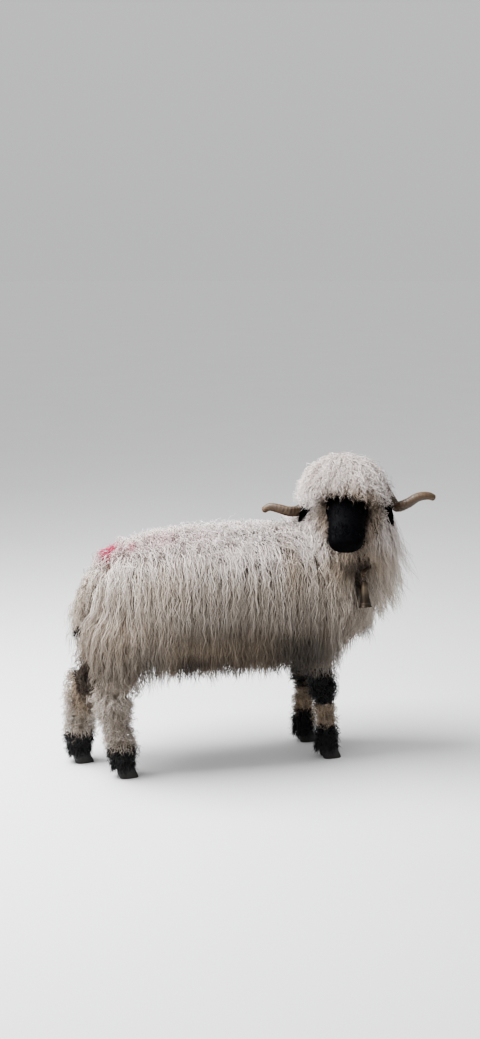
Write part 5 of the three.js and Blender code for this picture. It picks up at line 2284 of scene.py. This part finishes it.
    def mop(self) -> None:
        """The crown's wool: it hangs over the brow to the eyes, over the cheeks and the nape."""
        a = self.anatomy
        bodies = [(a.crown, 0.0), (a.skull, 0.0), (a.neck, 10.0), *self.horn_bases]
        roots = self.scatter(a.crown, self.crown_roots)
        local = a.from_head(roots.core)
        count = len(local)
        brow = ease(local[:, 0], 20, 62) * (1 - ease(np.abs(local[:, 1]), 40, 84))
        rear = 1 - ease(local[:, 0], -60, -10)
        corner = bump(np.abs(local[:, 1]), 66, 22) * ease(local[:, 0], 20, 62)
        wisps = 100 * bump(local[:, 1], 24, 30) * self.random.random(count) ** 0.9
        brow_hem = mix(902, 886, ease(local[:, 1], -4, 12)) - wisps
        hem = mix(mix(812, 740, rear), brow_hem, brow) - 40 * corner + self.draw(count, 12)
        room = roots.core[:, 2] - hem
        length = np.clip(room * 1.02, 20, (76 + 0.8 * wisps) * self.vary(count, 0.25))
        top = np.maximum(0, roots.out[:, 2])
        near_side = ease(local[:, 1], 20, 90)
        lift = 27 * (1 - 0.45 * brow) * (1 - 0.55 * top) * (1 - 0.4 * near_side)
        lift = np.minimum(lift, 0.6 * length) * self.within(count, 0.3, 1.15)
        flow = roots.out * [0.35, 0.35, 0.0] + a.head_turn[:, 0] * 0.2 * brow[:, None]
        flow = flow + self.lean(count, 0.62) * [1, 1, 0.2]
        keep = (local[:, 2] > -52) & (room > mix(-14, 2, brow))
        roots.skin = roots.core - roots.out * 22
        stiff = 0.55 * (1 - 0.7 * top)
        locks = self.hang(roots, bodies, length, lift, flow, stiff=stiff).only(keep)
        locks = locks.only(self.clear(locks, 6))
        self.finish("mop", [self.strands(locks, self.KINDS["mop"])], black=0.0)

    def cheeks(self) -> Locks:
        """Wool on the cheeks and under the jaw, behind the black face.

        Returns:
            The locks, clear of horns and ears.
        """
        a = self.anatomy
        roots = self.scatter(a.skull, self.cheek_roots, 0.12, 0.60)
        local = a.from_head(roots.core)
        count = len(local)
        bodies = [(a.skull, 0.0), (a.neck, 6.0)]
        length = 54 * self.vary(count, 0.3) * (1 - 0.4 * ease(local[:, 0], 60, 120))
        lift = 15 * self.within(count, 0.3, 1.1)
        flow = roots.out * [0.5, 0.5, 0.0] - a.head_turn[:, 0] * 0.4
        edge = np.where(local[:, 1] < 0, 24, 82) + self.draw(count, 14)
        keep = (local[:, 0] < edge) & ((np.abs(local[:, 1]) > 46) | (local[:, 2] < -20))
        keep &= local[:, 2] < 24
        locks = self.hang(roots, bodies, length, lift, flow).only(keep)
        return locks.only(self.clear(locks, 5))

    def thigh(self, name: str, leg: Tube, patch: tuple[float, float, float, float]) -> Locks:
        """Locks that hang down the upper leg to the hem.

        Args:
            name: Which leg.
            leg: Its tube.
            patch: Its square of the unwrap.

        Returns:
            The locks.
        """
        hind = name.startswith("hind")
        roots = self.scatter(leg, self.thigh_roots[hind], 0.02, 0.42, patch)
        count = len(roots.t)
        low = {"hind_right": self.hem_thigh, "hind_left": self.hem_rump}.get(
            name, self.hem_shoulder - 6
        )
        room = roots.core[:, 2] - low
        length = np.clip(room * 1.06, 44, 165) * self.vary(count, 0.16)
        lift = 16 * self.within(count, 0.3, 1.15)
        keep = self.anatomy.trunk.locate(roots.core)[0] > -6
        return self.hang(roots, [(leg, 0.0)], length, lift, np.zeros((count, 3))).only(keep)

    def shank(self, hind: bool, leg: Tube, patch: tuple[float, float, float, float]) -> Locks:
        """Tight curls down to the pastern, short on the front knees and proud at the hocks.

        Args:
            hind: Whether it is a hind leg.
            leg: Its tube.
            patch: Its square of the unwrap.

        Returns:
            The curls.
        """
        roots = self.scatter(leg, self.shank_roots[hind], 0.34, 0.86 if hind else 0.83, patch)
        count = len(roots.t)
        z = roots.core[:, 2]
        short = 1 - 0.3 * ease(roots.t, 0.5, 0.8)
        bare = 0.0 if hind else 0.45 * ease(z, 170, 190) * (1 - ease(z, 300, 320))
        length = (40 if hind else 26) * short * (1 - bare) * self.vary(count, 0.3)
        lift = (14 if hind else 7) * (1 - bare) * self.within(count, 0.4, 1.1)
        if hind:
            hock = 0.9 * bump(z, 190, 55) * ease(-roots.out[:, 0], 0, 0.7)
            lift = lift * (1 + hock - 0.5 * ease(z, 250, 310))
        return self.hang(roots, [(leg, 0.0)], length, lift, self.lean(count, 0.5), 4, 1.2)

    def foot(self, leg: Tube, patch: tuple[float, float, float, float]) -> Locks:
        """Short hair on the foot, longest at the claws' upper edge.

        Args:
            leg: The leg's tube.
            patch: Its square of the unwrap.

        Returns:
            The hairs.
        """
        roots = self.scatter(leg, self.foot_roots, 0.70, 1.0, patch)
        count, z = len(roots.t), roots.core[:, 2]
        length = 25 * self.vary(count, 0.35) * (0.8 + 0.2 * ease(z, 44, 74))
        lift = (6 + 5 * (1 - ease(z, 44, 80))) * self.within(count, 0.4, 1.2)
        flow = roots.out * [0.3, 0.3, 0] + self.lean(count, 0.16)
        return self.hang(roots, [(leg, 0.0)], length, lift, flow, 3)

    def legs(self) -> None:
        """Leg wool: locks down the thigh, tight curls to the pastern, short hair on the foot."""
        patches = {
            "hind_right": (0.0, 0.0, 0.5, 0.5), "hind_left": (0.5, 0.0, 1.0, 0.5),
            "front_right": (0.0, 0.5, 0.5, 1.0), "front_left": (0.5, 0.5, 1.0, 1.0),
        }
        for name, leg in self.anatomy.legs.items():
            patch = patches[name]
            self.finish(f"leg_wool_{name}", [
                self.strands(self.thigh(name, leg, patch), self.KINDS["thigh"]),
                self.strands(self.shank(name.startswith("hind"), leg, patch), self.KINDS["shank"]),
                self.strands(self.foot(leg, patch), self.KINDS["foot"]),
            ])

    def tail_wool(self) -> None:
        """The tail's wool, cream with a black tip."""
        a = self.anatomy
        roots = self.scatter(a.tail, self.tail_roots)
        count = len(roots.t)
        length = 50 * (1 - 0.35 * roots.t) * self.vary(count, 0.2)
        lift = (10 + 14 * ease(roots.t, 0.8, 1)) * self.within(count, 0.4, 1.1)
        keep = a.trunk.locate(roots.core)[0] > -4
        locks = self.hang(roots, [(a.tail, 0.0)], length, lift, np.zeros((count, 3))).only(keep)
        self.finish("tail_wool", [self.strands(locks, self.KINDS["tail"])])

    @staticmethod
    def combed(
        at: Array, out: Array, lie: Array, length: Array, rise: float, uv: Array
    ) -> Locks:
        """Short straight hairs that lie back along a surface and rise a little from it.

        Args:
            at: Points on the surface.
            out: The ways out there.
            lie: The direction that the hair lies in.
            length: Each hair's length.
            rise: How steeply it leaves the surface.
            uv: Places in the unwrap.

        Returns:
            The hairs as locks of one strand.
        """
        along = unit(lie - out * dot(lie, out) + out * rise)
        steps = np.linspace(0, 1, 4)[None, :, None]
        line = at[:, None] - out[:, None] + along[:, None] * steps * length[:, None, None]
        return Locks(at, out, line, np.repeat(out[:, None], 4, 1), uv, np.ones(len(at)))

    def face(self) -> None:
        """Cheek wool, and small tufts of short hair that break the face's and ears' outlines."""
        a = self.anatomy
        cheek = self.strands(self.cheeks(), self.KINDS["cheek"])
        roots = self.scatter(a.skull, self.face_tufts, 0.3, 0.93)
        ahead = a.from_head(roots.core)
        count = len(ahead)
        length = (8 + 6 * ease(-ahead[:, 2], -10, 40)) * self.vary(count, 0.3)
        back = -np.repeat(a.head_turn[:, 0][None], count, 0)
        keep = ahead[:, 0] < 234
        skin = Skin(a, self.markings, self.place)
        for way in (1, -1):
            middle, _, _, _ = skin.eye_frame(way)
            keep &= np.linalg.norm(roots.core - middle, axis=1) > 24
        locks = [self.combed(roots.core, roots.out, back, length, 0.22, roots.uv).only(keep)]
        for way in (1.0, -1.0):
            rings, sides, count = skin.ear_rings, 2 * skin.ear_half, self.ear_tufts
            leaf = skin.ear(way)[0][:-2].reshape(rings, sides, 3)
            along, around = np.gradient(leaf, axis=0), np.gradient(leaf, axis=1)
            out = unit(np.cross(around, along) + 1e-9)
            ring = self.random.integers(5, rings - 1, count)
            side = self.random.integers(1, sides - 1, count)
            uv = np.stack([0.1 + side / 45, 0.1 + ring / 55], 1)
            fall = unit(along[ring, side]) + self.lean(count, 0.25)
            length = self.within(count, 9, 20)
            locks.append(self.combed(leaf[ring, side], out[ring, side], fall, length, 0.3, uv))
        short = self.strands(Locks.joined(locks), self.KINDS["hair"])
        self.finish("cheek_wool", [cheek])
        self.finish("face_hair", [short], black=1.0, slot="face")

    def build(self) -> None:
        """Grows every piece of the coat."""
        self.torso()
        self.ruff()
        self.mop()
        self.legs()
        self.tail_wool()
        self.face()
        LOG.info("coat: %d triangles", self.triangles)


# Hard parts


@dataclass
class Horns:
    """Two ringed horns: back and down under the wool, then out to the side and up."""

    anatomy: Anatomy
    place: Place
    base: float = 22.5
    tip: float = 11.0
    rings: int = 220
    sides: int = 28
    ridge: float = 11.0

    ROWS = {
        "left": [
            [30, 6, -14], [60, 34, 4], [100, 62, -16], [130, 60, -56], [152, 40, -80],
            [184, 26, -68], [220, 26, -46], [252, 32, -43], [272, 40, -52],
        ],
        "right": [
            [30, 6, -14], [60, 34, 0], [100, 62, -22], [130, 60, -70], [156, 42, -98],
            [188, 28, -100], [220, 28, -92], [252, 32, -88], [274, 38, -102],
        ],
    }

    def build(self, material: bpy.types.Material) -> None:
        """Makes both horns.

        The radius falls from base to tip by the share to the power 1.8. Rings are raised by
        a sharpened sine of the length, strongest near the base, two grooves run lengthwise,
        and the tip is rounded.

        Args:
            material: The horn finish.
        """
        for name, rows in self.ROWS.items():
            way = 1.0 if name == "left" else -1.0
            at = self.anatomy.in_level(rows_of(rows), way)
            share = np.arange(len(at)) / (len(at) - 1)
            radius = mix(self.base, self.tip, share**1.8)
            hint = (self.anatomy.head_turn @ np.array([-0.3, 0, 1]))[None]
            tube = Tube(at, np.stack([radius, radius * 0.92, radius * 0.92], 1), hint)
            t, angle = lattice(np.linspace(0, 1, self.rings), self.sides)
            even = np.linspace(0, 1, 400)
            spans = np.linalg.norm(np.diff(smooth_path(at, even), axis=0), axis=1)
            length = np.interp(t, even, np.concatenate([[0], np.cumsum(spans)]))
            wobble = 1.6 * np.sin(angle * 2 + length * 0.05)
            ring = (0.5 + 0.5 * np.sin((length + wobble) * TURN / self.ridge)) ** 2.2
            fade = 1 - 0.8 * ease(t, 0.35, 0.95)
            round_off = np.sqrt(np.clip(1 - ((t - 0.965) / 0.035).clip(0, 1) ** 2, 0.004, 1))
            f = tube.frame(t)
            r = tube.reach(f["size"], t, angle, 0.0)
            groove = bump(np.cos(angle - 0.5), 1, 0.12) + bump(np.cos(angle - 3.6), 1, 0.12)
            groove = groove * (1 - ease(t, 0.8, 0.97))
            r = (r * (1 - 0.055 * fade - 0.13 * groove) + 0.9 * ring * fade) * round_off
            ends = tube.frame(np.array([0.0, 1.0]))
            points = np.vstack([
                f["at"] + r[:, None] * tube.spoke(f, angle), ends["at"][0],
                ends["at"][1] + ends["along"][1],
            ])
            # ring marks the ring valleys and grooves, which the finish darkens as soiling and
            # painted shade
            values = {
                "along": np.concatenate([t, [0, 1]]),
                "ring": np.concatenate([np.maximum(0.6 * (1 - ring) * fade, groove), [0, 0]]),
            }
            self.place.piece(
                f"ringed_horn_{name}", points, tube_faces(self.rings, self.sides), values,
                material, "horn", f"horn_{name}",
            )


@dataclass
class Eyes:
    """Two eyes under the fringe, each a ball with a slightly proud clear front."""

    skin: Skin
    rings: int = 40
    sides: int = 48

    def build(self, material: bpy.types.Material) -> None:
        """Makes both eyes: a ball whose front bulges by 1.2 mm over the iris.

        Args:
            material: The eye finish.
        """
        for name, way in (("left", 1.0), ("right", -1.0)):
            middle, out, nose, over = self.skin.eye_frame(way)
            polar, around = lattice(np.linspace(0.02, math.pi - 0.02, self.rings), self.sides)
            x, across = np.cos(polar), np.sin(polar)
            y, z = across * np.cos(around), across * np.sin(around)
            radius = self.skin.eye_radius
            r = radius - 0.4 + 1.2 * (1 - ease(polar, 0.2, 0.75))
            points = middle + r[:, None] * (
                x[:, None] * out + y[:, None] * nose + z[:, None] * over
            )
            points = np.vstack([points, middle + out * (radius + 0.8), middle - out * radius])
            gaze = np.vstack([np.stack([x, y, z], 1), [[1, 0, 0], [-1, 0, 0]]])
            faces = tube_faces(self.rings, self.sides)
            if way > 0:
                faces = [f[:, ::-1] for f in faces]
            self.skin.place.piece(
                f"amber_eye_{name}", points, faces, {"gaze": gaze}, material, "eye", f"eye_{name}"
            )


@dataclass
class Claws:
    """Two claws to each foot, flat under the sole."""

    anatomy: Anatomy
    place: Place
    length: float = 64.0
    width: float = 27.0
    split: float = 4.0
    power: float = 2.4
    rings: int = 34
    sides: int = 40

    def build(self, material: bpy.types.Material) -> None:
        """Makes the eight claws.

        Sections are superellipses that lengthen towards the ground. Growth rings are small
        steps of the radius, and the last rings draw in to a rounded edge at the sole.

        Args:
            material: The claw finish.
        """
        rows = rows_of([
            [-0.2, 0.66, 0.74, -3], [0.35, 0.88, 0.9, 5], [0.8, 1, 1, 11], [1.2, 1, 1, 15]
        ])
        high = self.anatomy.claw_height
        for name, foot in self.anatomy.FEET.items():
            for side in (-1, 1):
                down = np.linspace(0, 1, self.rings)
                wide, long, ahead = (np.interp(down, rows[:, 0], rows[:, k]) for k in (1, 2, 3))
                edge = np.sqrt(1 - ((down - 0.94) / 0.06).clip(0, 0.97) ** 2)
                wall = 1 + 0.012 * np.sin(down * 40) * (1 - down)
                angle = turns(self.sides)
                c, s = np.cos(angle)[None], np.sin(angle)[None]
                half = (self.width / 2 * wide * wall * (0.9 + 0.1 * edge))[:, None]
                fore = (self.length / 2 * long * wall * (0.95 + 0.05 * edge))[:, None]
                tall = np.where(c > 0, fore, fore * 0.85)
                power = self.power
                r = ((np.abs(s) / half) ** power + (np.abs(c) / tall) ** power) ** (-1 / power)
                middle = foot[1] + side * (self.width + self.split) / 2
                x = foot[0] + ahead[:, None] + r * c
                y = middle + r * s
                z = np.repeat((high * (1 - down))[:, None], self.sides, 1)
                points = np.stack([x, y, z], -1).reshape(-1, 3)
                ends = rows_of([
                    [foot[0] + ahead[0], middle, high], [foot[0] + ahead[-1], middle, 0]
                ])
                faces = [f[:, ::-1] for f in tube_faces(self.rings, self.sides)]
                values = {"along": np.concatenate([np.repeat(down, self.sides), [0, 1]])}
                label = f"{name}_{'right' if side < 0 else 'left'}"
                self.place.piece(
                    f"hoof_{label}", np.vstack([points, ends]), faces, values, material, "claw",
                    f"claw_{label}",
                )


@dataclass
class BellSet:
    """The collar round the neck, the strap from it, and the bell with its clapper."""

    anatomy: Anatomy
    place: Place
    top: tuple[float, float, float] = (436.0, -200.0, 602.0)
    outward: float = 12.0
    height: float = 82.0
    crown: float = 9.0
    mouth: float = 21.0
    wall: float = 2.4
    collar_at: float = 0.51
    collar_half: float = 0.04
    collar_sunk: float = 4.0
    collar_thick: float = 5.0
    buckle: float = 264.0
    sides: int = 56
    collar_sides: int = 160
    strap_rings: int = 60
    strap_sides: int = 28
    strap_half: float = 8.0
    loop: float = 6.5
    loop_wire: float = 2.0
    loop_up: float = 5.4

    def turned(self, points: Array) -> Array:
        """Points of the bell's own frame, tipped outwards and set at its top.

        Args:
            points: Rows of points, with the shell's top at the origin.

        Returns:
            Points of the animal.
        """
        a = math.radians(-self.outward)
        turn = rows_of([[1, 0, 0], [0, math.cos(a), -math.sin(a)], [0, math.sin(a), math.cos(a)]])
        return points @ turn.T + np.array(self.top)

    def lathe(self, radius: Array, z: Array) -> tuple[Array, list[Array]]:
        """A profile turned round Z, closed at both ends on the axis.

        Args:
            radius: The profile's radii.
            z: Its heights.

        Returns:
            Points and faces, which look inwards where the heights fall.
        """
        around = turns(self.sides)
        flat = radius[:, None, None] * np.stack([np.cos(around), np.sin(around)], -1)
        tall = np.repeat(z[:, None, None], self.sides, 1)
        points = np.concatenate([flat, tall], -1).reshape(-1, 3)
        ends = rows_of([[0, 0, z[0]], [0, 0, z[-1]]])
        return np.vstack([points, ends]), tube_faces(len(radius), self.sides)

    def bell(self, material: bpy.types.Material) -> None:
        """The bell: a flared shell, thicker at its rim, with three raised bands and a loop.

        The profile is a smooth path through shares of the crown's radius and the height. The
        wall's inside is the same path drawn in by its thickness, and the cast is a little
        uneven round its axis. The loop is a ring of round wire.

        Args:
            material: The bronze finish.
        """
        outer = rows_of([
            [0.0, 0], [0.4, -0.002], [0.72, -0.01], [0.92, -0.03], [1, -0.07], [1.18, -0.3],
            [1.5, -0.62], [1.95, -0.88], [self.mouth / self.crown, -1],
        ])
        fine = smooth_path(outer, np.linspace(0, 1, 90))
        r_out, z_out = fine[:, 0] * self.crown, fine[:, 1] * self.height
        share = -z_out / self.height
        band = bump(share, 0.22, 0.012) + bump(share, 0.26, 0.012) + bump(share, 0.86, 0.016)
        r_out = r_out + 0.55 * band
        rim = 1.0 * ease(share, 0.93, 0.99)
        r_in = np.maximum(0, r_out - self.wall - rim)
        z_in = np.where(share < 0.995, z_out - self.wall * (1 - share), z_out)
        radius = np.concatenate([r_out, r_in[::-1]])
        z = np.concatenate([z_out, z_in[::-1]])
        points, faces = self.lathe(radius, z)
        angle = np.arctan2(points[:, 1], points[:, 0])
        points[:, :2] *= (1 + 0.012 * np.sin(angle * 3 + points[:, 2] * 0.08))[:, None]
        u, v = lattice(turns(40), 14)
        r = self.loop + self.loop_wire * np.cos(v)
        wire = self.loop_wire * np.sin(v)
        loop = np.stack([r * np.cos(u), wire, self.loop_up + r * np.sin(u)], -1)
        # rub: wear on the three bands, and a painted highlight round the upper shell
        rub = np.concatenate([0.6 * band + bump(share, 0.34, 0.2), 0 * share])
        rub = [np.repeat(rub, self.sides), [0, 0], np.full(len(loop), 0.5)]
        faces = [*(f[:, ::-1] for f in faces), torus_faces(40, 14) + len(points)]
        self.place.piece(
            "bell_cast", self.turned(np.vstack([points, loop])), faces,
            {"rub": np.concatenate(rub)}, material, "brass", "bell",
        )

    def clapper(self, material: bpy.types.Material) -> None:
        """The clapper: a ball on a rod that widens into it.

        Args:
            material: The bronze finish.
        """
        at, ball = 12 - self.height, 6
        top = -self.wall * 1.2 - 0.6
        polar = np.linspace(0.45, 3.13, 26)
        z = np.concatenate([np.linspace(top, at + 5, 20), at + ball * np.cos(polar)])
        rod = 1.4 + 0.5 * ease(np.linspace(0, 1, 20), 0.8, 1)
        points, faces = self.lathe(np.concatenate([rod, ball * np.sin(polar)]), z)
        self.place.piece(
            "bell_clapper", self.turned(points), [f[:, ::-1] for f in faces],
            {"rub": np.full(len(points), 0.4)}, material, "brass", "clapper",
        )

    def collar(self, material: bpy.types.Material) -> None:
        """The collar: a leather band round the neck's dense wool, with rounded edges.

        Args:
            material: The leather finish.
        """
        sides = self.collar_sides
        corner = rows_of([
            [-1, 0.15], [-0.96, 0.75], [-0.86, 1], [-0.5, 1.06], [0, 1.08], [0.5, 1.06], [0.86, 1],
            [0.96, 0.75], [1, 0.15], [0.9, 0], [0, 0], [-0.9, 0],
        ])
        angle = np.repeat(turns(sides), len(corner))
        across, up = np.tile(corner, (sides, 1)).T
        t = self.collar_at + self.collar_half * 0.96 * across
        height = self.collar_sunk + self.collar_thick * 0.94 * up
        self.place.piece(
            "collar_band", self.anatomy.neck.skin(t, angle, height),
            [torus_faces(sides, len(corner))[:, [0, 3, 2, 1]]], {"rub": np.abs(across) ** 6},
            material, "leather", "collar",
        )

    def strap(self, material: bpy.types.Material) -> None:
        """The strap: a flat tongue from the collar out through the wool to the bell's loop.

        Args:
            material: The leather finish.
        """
        neck = self.anatomy.neck
        angle = np.array([math.radians(self.buckle)])
        t = np.array([self.collar_at])
        top = self.collar_sunk + self.collar_thick

        def over(height: float) -> Array:
            """A point over the skin at the collar's buckle."""
            return neck.skin(t, angle, height)[0]

        loop_top = self.loop_up + self.loop + self.loop_wire + 0.3
        ends = self.turned(rows_of([[0, 0, loop_top + 12], [0, 0, loop_top]]))
        rows = np.vstack([over(top + 0.3), over(top + 16.3) + [0, 0, -3], ends])
        half, rings, sides = self.strap_half, self.strap_rings, self.strap_sides
        tube = Tube(rows, np.repeat(rows_of([[half, 2, 2]]), 4, 0), rows_of([[0, 0, 1]]), 3.4)
        points, faces = tube.shell(rings, sides)
        f = tube.frame(np.linspace(0, 1, rings))
        rel = points[:-2].reshape(rings, sides, 3) - f["at"][:, None]
        rub = np.abs((rel * f["side"][:, None]).sum(2) / half).ravel() ** 8
        self.place.piece(
            "bell_strap", points, faces, {"rub": np.concatenate([rub, [0, 0]])}, material,
            "leather", "strap",
        )


# Studio


@dataclass
class Studio:
    """A pale floor, soft light from above, and the camera of the view."""

    place: Place
    eye: tuple[float, float, float] = (-1.1145, -4.4967, 1.64)
    look: tuple[float, float, float] = (0.25449, 0.94975, -0.18224)
    focal: float = 1500.0
    image_long: float = 1039.0
    overhead: float = 285.0
    aside: float = 24.0
    horizon: float = 0.56
    sensor: float = 36.0
    floor_dark: Colour = colour(0.74, 0.74, 0.735)
    floor_light: Colour = colour(0.78, 0.78, 0.775)
    floor_roughness: float = 0.9

    def camera(self) -> None:
        """The camera, whose lens is the focal length in pixels over the image's long side."""
        data = bpy.data.cameras.new("camera")
        data.sensor_fit = "AUTO"
        data.sensor_width = self.sensor
        data.lens = self.focal / self.image_long * self.sensor
        data.clip_end = 200
        piece = bpy.data.objects.new("camera", data)
        bpy.context.scene.collection.objects.link(piece)
        piece.location = Vector(np.array(self.eye) + self.place.shift)
        piece.rotation_euler = Vector(self.look).to_track_quat("-Z", "Y").to_euler()
        bpy.context.scene.camera = piece

    def floor(self, shop: Workshop) -> None:
        """A wide pale floor, of rings round a middle point.

        Args:
            shop: Where its material is started.
        """
        sides = 96
        radius, angle = lattice(np.array([1.5, 4, 12, 60]), sides)
        points = np.stack([radius * np.cos(angle), radius * np.sin(angle), 0 * angle], -1)
        quads = tube_faces(4, sides, False)[0]
        first = np.arange(sides)
        middle = np.stack([np.full(sides, len(points)), first, (first + 1) % sides], -1)
        piece = make_mesh("floor", np.vstack([points, [[0, 0, 0]]]), [quads[:, ::-1], middle])
        material, nodes, shader = shop.start("pale floor")
        cloud = nodes.noise(nodes.place(), 1.5)
        tone = nodes.blend(cloud, self.floor_dark, self.floor_light)
        nodes.give(shader, {"Base Color": tone, "Roughness": self.floor_roughness})
        piece.data.materials.append(material)

    def lights(self) -> None:
        """A large soft light overhead and a weaker one from the camera's left."""
        for name, where, size, power in (
            ("sky_light", (-1.5, 0.3, 2.9), 2.2, self.overhead),
            ("side_light", (-2.8, -2.6, 2.4), 2.0, self.aside),
        ):
            data = bpy.data.lights.new(name, "AREA")
            data.size = size
            data.energy = power
            data.color = (0.98, 0.99, 1.0)
            light = bpy.data.objects.new(name, data)
            light.location = where
            aim = Vector((0, 0, 0.45)) - Vector(where)
            light.rotation_euler = aim.to_track_quat("-Z", "Y").to_euler()
            bpy.context.scene.collection.objects.link(light)

    def air(self) -> None:
        """Pale air, brighter overhead.

        Its radiance rises from h at the horizon to 1.47 h overhead, with which a floor of
        albedo 0.76 looks as bright as the horizon, so no edge shows between them.
        """
        world = bpy.data.worlds.new("pale air")
        world.use_nodes = True
        n = Nodes(world.node_tree)
        way = n.add("ShaderNodeTexCoord").outputs["Generated"]
        glow = n.between(n.split(way)["Z"], 0.0, 1.0, self.horizon, 1.47 * self.horizon)
        background = world.node_tree.nodes["Background"]
        n.give(background, {"Color": colour(0.985, 0.99, 1.0), "Strength": glow})
        bpy.context.scene.world = world
        bpy.context.scene.view_settings.look = "AgX - Medium High Contrast"

    def build(self, shop: Workshop) -> None:
        """Sets up camera, floor, lights and air.

        Args:
            shop: Where the floor's material is started.
        """
        self.camera()
        self.floor(shop)
        self.lights()
        self.air()


def main() -> None:
    logging.basicConfig(level=logging.INFO, format="%(message)s", force=True)
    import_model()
    place = Place.found()
    LOG.info("shift %s", place.shift)
    shop = Workshop()
    Studio(place).build(shop)
    anatomy = Anatomy()
    markings = Markings(anatomy)
    skin = Skin(anatomy, markings, place)
    piece = skin.build(SkinFinish().build(shop))
    LOG.info("skin: %d polygons", len(piece.data.polygons))
    Eyes(skin).build(EyeFinish().build(shop))
    Horns(anatomy, place).build(HornFinish().build(shop))
    Claws(anatomy, place).build(HoofFinish().build(shop))
    bell = BellSet(anatomy, place)
    brass, leather = BrassFinish().build(shop), LeatherFinish().build(shop)
    bell.bell(brass)
    bell.clapper(brass)
    bell.collar(leather)
    bell.strap(leather)
    fleece, hair = FleeceFinish().build(shop), HairFinish().build(shop)
    Coat(anatomy, markings, place, fleece, hair).build()


if __name__ == "__main__":
    main()
